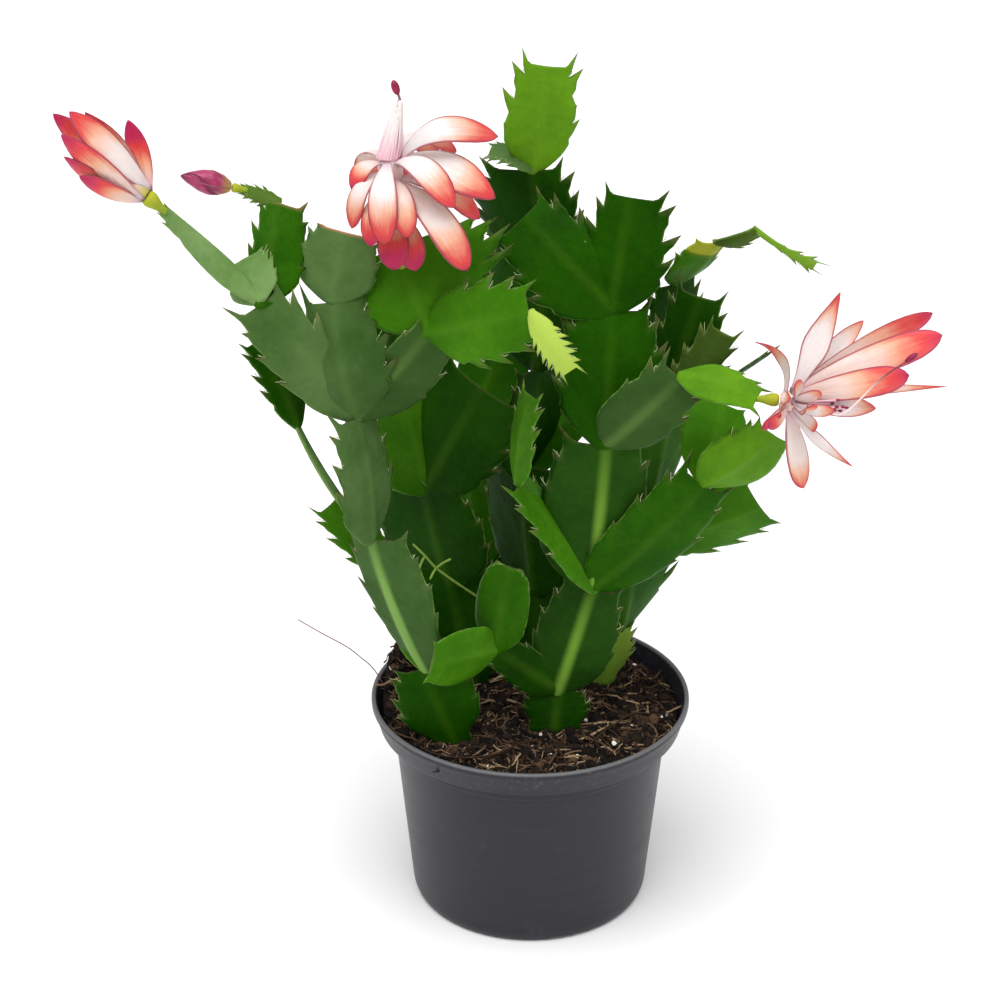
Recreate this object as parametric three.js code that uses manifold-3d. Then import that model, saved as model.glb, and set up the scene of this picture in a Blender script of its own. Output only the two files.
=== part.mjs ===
// Christmas cactus in a nursery pot, millimetres, +Z up, +X to the right, -Y towards the front.
// The origin is the middle of the pot's flat base, where it meets the table.

import * as THREE from "three";
import { mergeVertices } from "three/addons/utils/BufferGeometryUtils.js";
import Module from "manifold-3d";

const wasm = await Module();
wasm.setup();

// Driving sizes of the pot
const POT_HEIGHT = 83;
const RIM_RADIUS = 60;
const BASE_RADIUS = 45;
const WALL = 1.2;
const BAND_HEIGHT = 11;
const BAND_FOOT_RADIUS = 57;
const NECK_RADIUS = 52.4;
const NECK_HEIGHT = 5;
const BODY_TOP_RADIUS = 51.2;
const FLOOR_RISE = 2.2;
const FOOT_RING_INNER = 37;
const CENTRE_DISC_RADIUS = 22;
const DRAIN_HOLES = 8;
const DRAIN_RADIUS = 3.6;
const FOOT_NOTCHES = 3;
const FIRST_NOTCH = 50;
const POT_SIDES = 32;

// Driving sizes of the soil and of the stems' feet
const SOIL_LEVEL = 78;
const SOIL_RIPPLE = 1.1;
const SOIL_SIDES = 20;
const SOIL_DOME = 0.0005;
const CLEARANCE = 0.35;
const STEM_START = 80;
const FOOT_HALF_THICKNESS = 2.6;
const FOOT_DEPTH = 18;
const FOOT_TOP = 2;

// Driving sizes of the flat stem segments and the petals
const BLADE_EDGE = 0.4;
const BASE_EDGE = 1.2;
const RIB_SWELL = 1.35;
const FULL_RIB_WIDTH = 24;
const SEGMENT_BASE_HALF = 1.8;
const SEGMENT_CUP = 0.05;
const TOOTH_SLIP = 0.04;
const PETAL_EDGE = 0.38;
const PETAL_ROOT_SWELL = 0.25;
const PETAL_CUP = 0.12;

// Half outline of a segment: share of length, share of half width. Each tooth is an ear
// that stands on the edge between two outline points and leans towards the tip.
const SEGMENT_EDGE = [
  [-0.04, 0.18], [0.11, 0.56], [0.34, 0.92], [0.44, 0.86], [0.66, 0.92], [0.75, 0.81], [0.985, 0.46],
];
const SEGMENT_TEETH = [[2, 0.52, 1.04], [4, 0.83, 1.02], [5, 1.08, 0.74]];
const SEGMENT_RIB = [-0.04, 0.28, 0.62, 0.985];
const PETAL_OUTLINE = [[0, 0.3], [0.25, 0.72], [0.55, 1], [0.82, 0.7]];
const PETAL_RIB = [0, 0.3, 0.64, 1];

// The leafy stems. Each row is a segment: its name, the segment that it grows from,
// the x, y, z of its tip, its width, how far its face turns from the front (degrees),
// and how far its middle bows out to that face.
const STEMS = {
  stem_left: {
    foot: [-29, -29, 8],
    rows: [
      ["a1", "", -39, -29, 110, 32, 0, 1],
      ["a2", "a1", -56.7, -39, 167.5, 32, -35, 2],
      ["a3", "a2", -61, -36, 213, 30, 60, 2],
      ["a4", "a2", -82, -30, 207, 14, 80, 2],
      ["a5", "a4", -96, -28, 237, 21, 50, 2],
      ["a6", "a1", -50, -16, 140, 15, 30, 0],
      ["a7", "a6", -73, -20, 171, 15, 20, 2],
      ["a8", "a3", -91, -52, 260.9, 25, 15, 2],
      ["a9", "a3", -68.1, -38, 256.2, 25, 0, 3],
      ["a10", "a3", -34.8, -44, 247.4, 29, 12, 0],
      ["a11", "a8", -120.1, -60, 295.9, 13, 35, -2],
      ["a12", "a8", -97, -38, 276, 21, -15, 1],
      ["a13", "a9", -62.5, -34, 279.1, 28, -8, 1],
      ["a14", "a8", -85.7, -22, 285.2, 18, 10, 1],
      ["a15", "a14", -97.8, -24, 290.3, 7, 50, 0],
      ["a16", "a10", -44, -34, 267, 27, 0, 1],
      ["a17", "a10", -1.1, -60, 259.9, 29, -15, 3],
      ["a18", "a17", 11.6, -68, 242.5, 12, 0, 3],
    ],
  },
  stem_middle: {
    foot: [9, -20, 10.5],
    rows: [
      ["b1", "", 10, -18, 94, 26, 0, 0],
      ["b2", "b1", 22, -20, 138, 32, 0, 1],
      ["b3", "b2", 25.9, -26, 197.9, 40, 0, 2],
      ["b4", "b2", 60.5, -28, 183.8, 32, 12, 3],
      ["b5", "b2", -5, -28, 184, 20, 66, 1],
      ["b6", "b5", -1, -26, 216.7, 20, -64, 1],
      ["b7", "b3", 27.3, -14, 243.6, 39, 0, 2],
      ["b8", "b3", 50.4, -38, 228.4, 27, 0, 2],
      ["b9", "b8", 75.9, -48, 224.3, 20, -70, 2],
      ["b10", "b7", 33.4, -4, 281.3, 29, -12, 1],
      ["b11", "b7", -4, -2, 273, 31, 18, 2],
      ["b12", "b4", 83.4, -34, 205.3, 29, 20, 2],
      ["b13", "b4", 67.6, -8, 205.4, 28, 10, 1],
      ["c1", "b1", -13, -26, 116, 17, 15, 0],
      ["c2", "c1", -35.9, -48, 122.2, 25, 5, 1],
      ["c3", "c1", -8, -32, 153.1, 22, -20, 1],
    ],
  },
  stem_right: {
    foot: [29, 15, 6],
    rows: [
      ["e1", "", 34, 14, 103, 18, 30, 0],
      ["e2", "e1", 39, 10, 142, 22, 40, 1],
      ["e3", "e2", 80.1, -4, 161.9, 25, 15, 2],
      ["e4", "e2", 50, 14, 192, 29, 40, 1],
      ["e5", "e4", 60, 14, 238, 26, -20, 1],
      ["e6", "e4", 68, 4, 228, 17, 0, 0],
      ["e7", "e4", 88.3, -2, 225.4, 8, 70, 1],
    ],
  },
  stem_back: {
    foot: [0, 26, 7],
    rows: [
      ["f1", "", 2, 24, 114, 34, 25, 1],
      ["f2", "f1", -2, 22, 163, 36, -35, 1],
      ["f3", "f2", 2, 20, 208, 34, 55, 1],
      ["f4", "f3", 6, 20, 250, 31, -25, 1],
      ["f5", "f4", 0, 14, 285, 31, -20, 1],
      ["f6", "f5", 4.9, 6, 322.7, 24, 0, 2],
      ["f7", "f5", -15, 16, 291, 16, 75, 2],
      ["f9", "f2", 16, 58, 192, 32, 125, 3],
    ],
  },
  stem_back_left: {
    foot: [-22, 14, 7],
    rows: [
      ["g1", "", -30, 16, 121, 38, 0, 1],
      ["g2", "g1", -39, 12, 162, 40, -25, 1],
      ["g3", "g2", -46, 6, 200, 32, 30, 1],
      ["g4", "g2", -19, 0, 205, 32, -20, 1],
      ["g5", "g3", -50.2, 14, 236.4, 30, 55, 1],
      ["g7", "g2", -69, 34, 178, 32, -50, 3],
    ],
  },
  stem_back_right: {
    foot: [17, 41, 6],
    rows: [
      ["h1", "", 28, 46, 114, 32, 150, 1],
      ["h2", "h1", 42, 50, 158, 34, 195, 2],
      ["h3", "h2", 50, 36, 202, 31, 55, 1],
      ["h4", "h3", 52.3, 30, 236.5, 28, 30, 1],
      ["h5", "h4", 65.6, 20, 255.5, 15, 45, 2],
      ["h6", "h5", 79.4, 14, 262.1, 8, 30, 2],
      ["h7", "h6", 100, 8, 251, 4, 0, 3],
      ["h8", "h2", 66, 70, 184, 32, 125, 3],
    ],
  },
  stem_rear: {
    foot: [-16, 42, 6],
    rows: [
      ["i1", "", -19, 48, 114, 33, 205, 1],
      ["i2", "i1", -26, 57, 159, 34, 160, 2],
      ["i3", "i2", -50, 70, 192, 32, 215, 3],
      ["i4", "i2", -8, 70, 202, 32, 150, 2],
      ["i6", "i4", -4, 60, 244, 30, 200, 2],
    ],
  },
};

// The open and half-open blooms. Each stands on the tip of a segment. Its throat is where
// the petals part; a petal row is the x, y, z of its tip, its width, how far it arches out,
// and where along the flower tube it starts (1 is the throat).
const BLOOMS = {
  bloom_top: {
    on: "a16",
    throat: [-48, -34, 305],
    petals: [
      [-12, -37, 311, 10, 8, 1], [-26, -20, 302, 9, 7, 1], [-13, -50, 296, 14, 8, 1],
      [-26, -56, 295, 10, 7, 1], [-18, -44, 287, 9, 8, 0.8], [-22, -58, 274, 11.5, 8, 0.75],
      [-41, -57, 285, 9, 7, 0.8], [-49, -58, 283, 10, 8, 1], [-60, -44, 297, 7, 5, 1],
      [-60, -48, 285, 8, 8, 0.9], [-54, -54, 281, 9, 6, 0.7], [-33, -12, 298, 11, 8, 1],
      [-57, -16, 289, 10, 7, 1], [-44, -10, 290, 12, 8, 0.9], [-46, -52, 272, 8, 5, 0.45],
      [-39, -50, 271, 7, 5, 0.4],
    ],
    pistil: [[-46, -34, 318.5], [-44, -34, 323.5], [-45.4, -34, 328.5]],
    aim: [3, 0, 20],
    stamenReach: 13,
  },
  bloom_right: {
    on: "b9",
    throat: [88.8, -50, 224.3],
    petals: [
      [101.6, -46, 261.9, 8, 1, 1], [73.9, -46, 244.1, 5.5, 2, 0.5], [133.2, -44, 253.9, 9, 3, 1],
      [111.5, -36, 248, 7, 1, 1], [135.2, -54, 250, 11, 3, 1], [127.2, -67, 236.3, 10, 2, 1],
      [137.1, -60, 232.3, 4, 0, 1], [113.4, -60, 219.5, 6, 0, 1], [89.7, -54, 193.7, 7.5, 1, 0.7],
      [107.5, -60, 204.6, 4.5, 3, 0.8], [76.9, -56, 216.5, 5.5, 1, 0.3], [106.6, -28, 226.2, 9, 2, 1],
    ],
    pistil: [[95.7, -55, 224.4], [102.6, -63, 225.4], [113.4, -67, 239.2], [123.3, -67, 247.1]],
    aim: [11, -3, 1],
    stamenReach: 12,
  },
  bloom_left: {
    on: "a11",
    throat: [-130.9, -62, 306.7],
    petals: [
      [-142.7, -60, 328.3, 9, 2, 0.6], [-146.6, -66, 330.3, 10, 2, 0.5], [-152.5, -62, 328.3, 9, 2, 0.5],
      [-149.5, -68, 323.4, 9, 2, 0.5], [-149.5, -66, 315.6, 9, 2, 0.5], [-144.6, -68, 309.7, 8, 2, 0.4],
      [-129.9, -56, 324.4, 9, 2, 0.15], [-145.7, -54, 316.5, 9, 2, 0.5],
    ],
    pistil: [],
    aim: [0, 0, 1],
    stamenReach: 0,
  },
};
const BUD = { on: "a15", tip: [-117.8, -28, 296.5], radius: 4.3 };
const OVARY_LENGTH = 7;
const OVARY_RADIUS = 2.9;
const BUD_STALK = 3.6;
const TUBE_FOOT_RADIUS = 2.6;
const THROAT_RADIUS = 4.6;
const PETAL_ROOT_RADIUS = 3.75;
const PETAL_LEAN = 0.9;
const STAMEN_RING_RADIUS = 2.5;
const STAMEN_SPREAD = 0.5;
const STAMENS = 5;
const STAMEN_TURN = 0.75;
const THREAD_RADIUS = 0.45;

// Colour and roughness of each kind of piece
const LEAF_LOOK = [0x4a8a2c, 0.45];
const PETAL_LOOK = [0xe8604e, 0.5];
const STAMEN_LOOK = [0xf4e6e0, 0.5];
const PISTIL_LOOK = [0x9c1f50, 0.45];
const BUD_LOOK = [0xb0306a, 0.45];
const SOIL_LOOK = [0x2e2119, 0.95];
const POT_LOOK = [0x3c3d42, 0.42];

const group = new THREE.Group();
const point = (x, y, z) => new THREE.Vector3(x, y, z);

// A closed mesh becomes a solid that can be joined and cut.
function solidFrom(geometry) {
  const bare = geometry.clone();
  bare.deleteAttribute("normal");
  bare.deleteAttribute("uv");
  const merged = mergeVertices(bare, 1e-4);
  return new wasm.Manifold(new wasm.Mesh({
    numProp: 3,
    vertProperties: new Float32Array(merged.attributes.position.array),
    triVerts: new Uint32Array(merged.index.array),
  }));
}

function addMesh(name, solid, [color, roughness]) {
  const made = solid.getMesh();
  const geometry = new THREE.BufferGeometry();
  geometry.setAttribute("position", new THREE.BufferAttribute(made.vertProperties, 3));
  geometry.setIndex(new THREE.BufferAttribute(made.triVerts, 1));
  geometry.computeVertexNormals();
  const material = new THREE.MeshStandardMaterial({ color, roughness, metalness: 0 });
  const mesh = new THREE.Mesh(geometry, material);
  mesh.name = name;
  group.add(mesh);
}

// A turned solid: its profile is a list of radius and height, set along a direction.
function turned(profile, sides, from, direction) {
  const line = profile.map(([r, h]) => new THREE.Vector2(r, h));
  const geometry = new THREE.LatheGeometry(line, sides);
  const turn = new THREE.Quaternion().setFromUnitVectors(point(0, 1, 0), direction);
  geometry.applyQuaternion(turn);
  geometry.translate(from.x, from.y, from.z);
  return solidFrom(geometry);
}

// A thread of even thickness through a list of points.
function thread(points, radius, steps) {
  const ring = new THREE.Shape();
  const sides = 5;
  for (let i = 0; i < sides; i += 1) {
    const a = (2 * Math.PI * i) / sides;
    if (i === 0) ring.moveTo(radius, 0);
    else ring.lineTo(radius * Math.cos(a), radius * Math.sin(a));
  }
  const path = new THREE.CatmullRomCurve3(points);
  return solidFrom(new THREE.ExtrudeGeometry(ring, { steps, extrudePath: path, curveSegments: 1 }));
}

// Triangles between an edge line and the rib. Both run from the foot to the tip, and the
// line that lies further back in length moves on first.
function stripBetween(edge, rib) {
  const triangles = [];
  let e = 0;
  let r = 0;
  while (e < edge.length - 1 || r < rib.length - 1) {
    const edgeNext = e < edge.length - 1 ? edge[e + 1].t : Infinity;
    const ribNext = r < rib.length - 1 ? rib[r + 1].t : Infinity;
    if (edgeNext <= ribNext) {
      triangles.push([edge[e].id, edge[e + 1].id, rib[r].id]);
      e += 1;
    } else {
      triangles.push([edge[e].id, rib[r + 1].id, rib[r].id]);
      r += 1;
    }
  }
  return triangles;
}

// A thin body between two points, like a leaf. It bows along its length, is cupped across,
// thick along its rib and thin at its edge, and both its faces are split into triangles alike.
function blade({ from, to, facing, width, bow, cup, outline, teeth, ribs, ribHalf, edgeHalf, slip }) {
  const along = to.clone().sub(from);
  const length = along.length();
  along.normalize();
  const normal = facing.clone().addScaledVector(along, -facing.dot(along)).normalize();
  const side = along.clone().cross(normal);
  const vertices = [];

  function place(t, share, thick) {
    const tilt = 4 * bow * (1 - 2 * t);
    const out = normal.clone().multiplyScalar(length).addScaledVector(along, -tilt).normalize();
    const spot = from.clone().addScaledVector(along, t * length);
    spot.addScaledVector(normal, 4 * bow * t * (1 - t));
    spot.addScaledVector(side, (share * width) / 2);
    spot.addScaledVector(out, -cup * share * share);
    vertices.push(spot.clone().addScaledVector(out, thick), spot.clone().addScaledVector(out, -thick));
    return { id: vertices.length / 2 - 1, t };
  }

  const rib = ribs.map((t) => place(t, 0, ribHalf(t)));
  const tip = rib[rib.length - 1];
  const index = [];
  const rims = [];
  for (const sign of [1, -1]) {
    const shift = sign < 0 ? slip : 0;
    const edge = outline.map(([t, share], i) => {
      const moved = i > 0 && t < 1 ? t + shift : t;
      return place(moved, sign * share, edgeHalf(moved));
    });
    const rim = [];
    const faces = stripBetween([...edge, tip], rib.slice(0, -1));
    edge.forEach((spot, i) => {
      rim.push(spot.id);
      const tooth = teeth.find(([after]) => after === i);
      if (!tooth) return;
      const peak = place(tooth[1] + shift, sign * tooth[2], edgeHalf(1));
      rim.push(peak.id);
      faces.push([spot.id, peak.id, edge[i + 1].id]);
    });
    for (const [a, b, c] of faces) {
      const [p, q, r] = sign > 0 ? [a, b, c] : [a, c, b];
      index.push(2 * p, 2 * q, 2 * r, 2 * p + 1, 2 * r + 1, 2 * q + 1);
    }
    rims.push(rim);
  }
  const loop = [rib[0].id, ...rims[0], tip.id, ...rims[1].reverse()];
  loop.forEach((a, i) => {
    const b = loop[(i + 1) % loop.length];
    index.push(2 * a, 2 * a + 1, 2 * b + 1, 2 * a, 2 * b + 1, 2 * b);
  });
  return new wasm.Manifold(new wasm.Mesh({
    numProp: 3,
    vertProperties: new Float32Array(vertices.flatMap((v) => [v.x, v.y, v.z])),
    triVerts: new Uint32Array(index),
  }));
}

// A segment faces the front, turned about its own length by the angle in its row.
function facingOf(from, to, turnDegrees) {
  const along = to.clone().sub(from).normalize();
  const front = point(0, -1, 0).addScaledVector(along, along.y).normalize();
  return front.applyAxisAngle(along, THREE.MathUtils.degToRad(turnDegrees));
}

function segment(from, to, width, turnDegrees, bow, baseHalf) {
  const swell = RIB_SWELL * Math.min(1, width / FULL_RIB_WIDTH);
  const leastShare = (2 * baseHalf) / width;
  return blade({
    from, to, width, bow,
    facing: facingOf(from, to, turnDegrees),
    cup: SEGMENT_CUP * width,
    outline: SEGMENT_EDGE.map(([t, share]) => [t, Math.max(share, leastShare)]),
    teeth: SEGMENT_TEETH,
    ribs: SEGMENT_RIB,
    ribHalf: (t) => BLADE_EDGE + swell * (1.15 - 0.75 * Math.max(t, 0)),
    edgeHalf: (t) => (t < 0.05 ? BASE_EDGE : BLADE_EDGE),
    slip: TOOTH_SLIP,
  });
}

// A leafy stem: its foot in the soil and its segments, joined where they grow from each other.
function leafyStem(stem) {
  const [footX, footY, footHalf] = stem.foot;
  const start = point(footX, footY, STEM_START);
  const tips = { "": start };
  let whole = footPeg(stem.foot, 0);
  for (const [name, parent, x, y, z, width, turnDegrees, bow] of stem.rows) {
    tips[name] = point(x, y, z);
    const baseHalf = parent ? SEGMENT_BASE_HALF : footHalf - 0.8;
    const grown = segment(tips[parent], tips[name], width, turnDegrees, bow, baseHalf);
    whole = whole.add(grown);
  }
  return { solid: whole, tips };
}

// The flat oval foot of a stem. With a gap round it, it is also the hole that the stem stands in.
function footPeg([x, y, halfWidth], gap) {
  const bottom = STEM_START - FOOT_DEPTH - gap;
  const height = STEM_START + FOOT_TOP - bottom;
  const line = [[0, 0], [1, 0], [1, height - FOOT_TOP], [0.8, height], [0, height]];
  const geometry = new THREE.LatheGeometry(line.map(([r, h]) => new THREE.Vector2(r, h)), 10);
  geometry.rotateX(Math.PI / 2);
  geometry.scale(halfWidth + gap, FOOT_HALF_THICKNESS + gap, 1);
  geometry.translate(x, y, bottom);
  return solidFrom(geometry);
}

// The part of a flower that grows from its segment and swells below the petals.
function ovary(from, direction, radius, length) {
  const narrow = radius * 0.6;
  const top = radius * 0.8;
  const profile = [[0, -2], [narrow, -2], [radius, length * 0.55], [top, length], [0, length]];
  return turned(profile, 8, from, direction);
}

// A bloom's tube and its petals, grown as one, a little above the ovary that it stands on.
function bloomPieces(bloom, seat) {
  const throat = point(...bloom.throat);
  const axis = throat.clone().sub(seat).normalize();
  const foot = seat.clone().addScaledVector(axis, OVARY_LENGTH + CLEARANCE);
  const tubeLength = throat.distanceTo(foot);
  const tubeRadius = (level) => TUBE_FOOT_RADIUS + (THROAT_RADIUS - TUBE_FOOT_RADIUS) * level;
  const profile = [
    [0, 0], [TUBE_FOOT_RADIUS, 0], [tubeRadius(0.5), tubeLength * 0.5],
    [THROAT_RADIUS, tubeLength], [0, tubeLength],
  ];
  let petals = turned(profile, 10, foot, axis);
  for (const [x, y, z, width, bow, level] of bloom.petals) {
    const tip = point(x, y, z);
    const centre = foot.clone().addScaledVector(axis, tubeLength * level - 1);
    const outward = tip.clone().sub(centre);
    outward.addScaledVector(axis, -outward.dot(axis)).normalize();
    const from = centre.clone().addScaledVector(outward, PETAL_ROOT_RADIUS * (0.6 + 0.4 * level));
    const lean = point(0, tip.y < throat.y ? -PETAL_LEAN : PETAL_LEAN, 0);
    petals = petals.add(blade({
      from, to: tip, width, bow,
      facing: outward.clone().add(axis).add(lean),
      cup: PETAL_CUP * width,
      outline: PETAL_OUTLINE,
      teeth: [],
      ribs: PETAL_RIB,
      ribHalf: (t) => PETAL_EDGE + PETAL_ROOT_SWELL * (1 - t),
      edgeHalf: () => PETAL_EDGE,
      slip: 0,
    }));
  }
  return { petals, throat, axis };
}

// Stamens rise from a ring round the style as one loose bundle, each with its anther.
function stamenBundle(throat, axis, aim, reach) {
  const seat = throat.clone().addScaledVector(axis, CLEARANCE);
  const bore = THREAD_RADIUS * 1.3 + 2 * CLEARANCE;
  const rim = STAMEN_RING_RADIUS;
  const middleOfRing = (bore + rim) / 2;
  let bundle = turned([[bore, 0], [rim, 0], [rim, 1], [bore, 1], [bore, 0]], 10, seat, axis);
  const sideways = axis.clone().cross(point(0, 1, 0)).normalize();
  for (let i = 0; i < STAMENS; i += 1) {
    const out = sideways.clone().applyAxisAngle(axis, (2 * Math.PI * (i + STAMEN_TURN)) / STAMENS);
    const from = seat.clone().addScaledVector(axis, 0.5).addScaledVector(out, middleOfRing);
    const bend = from.clone().addScaledVector(out, STAMEN_SPREAD);
    const middle = bend.clone().addScaledVector(aim, reach * 0.5);
    const end = bend.clone().addScaledVector(aim, reach * (0.85 + 0.07 * (i % 3)));
    bundle = bundle.add(thread([from, middle, end], THREAD_RADIUS, 2));
    bundle = bundle.add(turned([[0, -1.2], [0.9, 0], [0, 1.2]], 5, end, aim));
  }
  return bundle;
}

// The style with its stigma at the end.
function pistil(throat, axis, points) {
  const seat = throat.clone().addScaledVector(axis, CLEARANCE);
  const path = [seat, ...points.map((p) => point(...p))];
  const end = path[path.length - 1];
  const before = path[path.length - 2];
  const direction = end.clone().sub(before).normalize();
  const style = thread(path, THREAD_RADIUS * 1.3, 6);
  const stigma = turned([[0, -3], [1.3, -1], [1.3, 1], [0, 2.6]], 6, end, direction);
  return style.add(stigma);
}

// Before it opens, a bud is one spindle of wrapped petals.
function closedBud(seat, tip, radius) {
  const axis = tip.clone().sub(seat).normalize();
  const foot = seat.clone().addScaledVector(axis, BUD_STALK + CLEARANCE);
  const length = tip.distanceTo(foot);
  const profile = [
    [0, 0], [radius * 0.4, 0], [radius * 0.96, length * 0.36], [radius * 0.93, length * 0.55],
    [radius * 0.5, length * 0.84], [0, length],
  ];
  return turned(profile, 10, foot, axis);
}

// The pot: a tapering thin wall, a rim band that steps out, a raised channel in the floor
// with drain holes, and a foot ring with notches that let the water out.
function pot() {
  const neckTop = POT_HEIGHT - BAND_HEIGHT;
  const neckFoot = neckTop - NECK_HEIGHT;
  const floorTop = FLOOR_RISE + WALL;
  const profile = [
    [0, 0], [CENTRE_DISC_RADIUS, 0], [CENTRE_DISC_RADIUS + 2, FLOOR_RISE], [FOOT_RING_INNER, FLOOR_RISE],
    [FOOT_RING_INNER + 0.6, 0], [BASE_RADIUS - 3.2, 0], [BASE_RADIUS - 0.9, 1], [BASE_RADIUS, 3.6],
    [BODY_TOP_RADIUS, neckFoot], [NECK_RADIUS, neckFoot + 0.6], [NECK_RADIUS + 0.4, neckTop],
    [BAND_FOOT_RADIUS, neckTop + 0.4], [RIM_RADIUS, POT_HEIGHT - 2], [RIM_RADIUS - 0.4, POT_HEIGHT],
    [RIM_RADIUS - WALL - 0.4, POT_HEIGHT], [BAND_FOOT_RADIUS - WALL, neckTop + 0.4 + WALL],
    [NECK_RADIUS - WALL + 0.4, neckTop + 0.4], [BODY_TOP_RADIUS - WALL, neckFoot],
    [BASE_RADIUS - WALL - 0.6, floorTop], [CENTRE_DISC_RADIUS, floorTop],
    [CENTRE_DISC_RADIUS - 2, WALL + 0.6], [0, WALL + 0.6],
  ];
  let shell = turned(profile, POT_SIDES, point(0, 0, 0), point(0, 0, 1));
  const holeRing = (CENTRE_DISC_RADIUS + 2 + FOOT_RING_INNER) / 2;
  const hole = [[0, 0], [DRAIN_RADIUS, 0], [DRAIN_RADIUS, 8], [0, 8]];
  for (let i = 0; i < DRAIN_HOLES; i += 1) {
    const a = (2 * Math.PI * (i + 0.5)) / DRAIN_HOLES;
    const below = point(holeRing * Math.cos(a), holeRing * Math.sin(a), -2);
    shell = shell.subtract(turned(hole, 8, below, point(0, 0, 1)));
  }
  for (let i = 0; i < FOOT_NOTCHES; i += 1) {
    const a = (2 * Math.PI * i) / FOOT_NOTCHES + THREE.MathUtils.degToRad(FIRST_NOTCH);
    const notch = new THREE.BoxGeometry(14, 15, 3.6);
    notch.translate(FOOT_RING_INNER + 6, 0, 0);
    notch.rotateZ(a);
    shell = shell.subtract(solidFrom(notch));
  }
  return shell;
}

// Crossing waves make the soil uneven, and always alike.
function ripple(x, y) {
  return Math.sin(0.21 * x + 1.3) * Math.cos(0.17 * y - 0.4) + 0.5 * Math.sin(0.37 * x - 0.29 * y);
}

function soil() {
  const bottom = FLOOR_RISE + WALL + CLEARANCE;
  const neckTop = POT_HEIGHT - BAND_HEIGHT;
  const innerTop = BODY_TOP_RADIUS - WALL - CLEARANCE - 0.2;
  const innerFoot = BASE_RADIUS - WALL - 0.6 - CLEARANCE - 0.4;
  const brim = BAND_FOOT_RADIUS - WALL - 0.2;
  const vertices = [[0, 0, SOIL_LEVEL + SOIL_RIPPLE * ripple(0, 0)]];
  const ringOf = (radius, height) => {
    for (let i = 0; i < SOIL_SIDES; i += 1) {
      const a = (2 * Math.PI * i) / SOIL_SIDES;
      const x = radius * Math.cos(a);
      const y = radius * Math.sin(a);
      vertices.push([x, y, height(x, y)]);
    }
  };
  const topRings = [14, 28, 42, brim];
  topRings.forEach((radius) => {
    ringOf(radius, (x, y) => SOIL_LEVEL + SOIL_RIPPLE * ripple(x, y) - SOIL_DOME * radius * radius);
  });
  ringOf(brim - 0.4, () => neckTop + WALL + 0.8);
  ringOf(NECK_RADIUS - WALL - 0.3, () => neckTop + 0.6);
  ringOf(innerTop, () => neckTop - NECK_HEIGHT);
  ringOf(innerFoot, () => bottom);
  const last = vertices.length;
  vertices.push([0, 0, bottom]);
  const index = [];
  const at = (ring, i) => 1 + ring * SOIL_SIDES + (i % SOIL_SIDES);
  const ringCount = topRings.length + 4;
  for (let i = 0; i < SOIL_SIDES; i += 1) {
    index.push(0, at(0, i), at(0, i + 1));
    for (let ring = 0; ring < ringCount - 1; ring += 1) {
      index.push(at(ring, i), at(ring + 1, i), at(ring + 1, i + 1));
      index.push(at(ring, i), at(ring + 1, i + 1), at(ring, i + 1));
    }
    index.push(last, at(ringCount - 1, i + 1), at(ringCount - 1, i));
  }
  const geometry = new THREE.BufferGeometry();
  geometry.setAttribute("position", new THREE.BufferAttribute(new Float32Array(vertices.flat()), 3));
  geometry.setIndex(index);
  let body = solidFrom(geometry);
  for (const stem of Object.values(STEMS)) {
    body = body.subtract(footPeg(stem.foot, CLEARANCE));
  }
  return body;
}

const tipOf = {};
const stemSolids = {};
for (const [name, stem] of Object.entries(STEMS)) {
  const made = leafyStem(stem);
  stemSolids[name] = made.solid;
  for (const [tipName, spot] of Object.entries(made.tips)) {
    tipOf[tipName] = { spot, stem: name };
  }
}

for (const [name, bloom] of Object.entries(BLOOMS)) {
  const seat = tipOf[bloom.on];
  const { petals, throat, axis } = bloomPieces(bloom, seat.spot);
  const grown = ovary(seat.spot, axis, OVARY_RADIUS, OVARY_LENGTH);
  stemSolids[seat.stem] = stemSolids[seat.stem].add(grown);
  addMesh(`${name}_petals`, petals, PETAL_LOOK);
  if (bloom.stamenReach > 0) {
    const aim = point(...bloom.aim).normalize();
    addMesh(`${name}_stamens`, stamenBundle(throat, axis, aim, bloom.stamenReach), STAMEN_LOOK);
    addMesh(`${name}_pistil`, pistil(throat, axis, bloom.pistil), PISTIL_LOOK);
  }
}

const budSeat = tipOf[BUD.on];
const budTip = point(...BUD.tip);
const budAxis = budTip.clone().sub(budSeat.spot).normalize();
const budStalk = ovary(budSeat.spot, budAxis, OVARY_RADIUS * 0.6, BUD_STALK);
stemSolids[budSeat.stem] = stemSolids[budSeat.stem].add(budStalk);
addMesh("bud_petals", closedBud(budSeat.spot, budTip, BUD.radius), BUD_LOOK);

for (const [name, solid] of Object.entries(stemSolids)) {
  addMesh(name, solid, LEAF_LOOK);
}
addMesh("soil", soil(), SOIL_LOOK);
addMesh("pot", pot(), POT_LOOK);

export default group;
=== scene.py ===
# %% [markdown]
# # A potted Christmas cactus
#
# The plant is a set of leafy stems, each a chain of flat toothed segments, with layered pink blooms
# at the ends of some of them, in dark peat in a plain nursery pot.
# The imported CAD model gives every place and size. It is loaded first and stays fixed, and each
# finer piece below stands in for one of its nodes, in the same frame: metres, +Z up, -Y to the front.

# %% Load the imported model
import math
import bpy
import numpy as np
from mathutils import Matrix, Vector, noise


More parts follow.
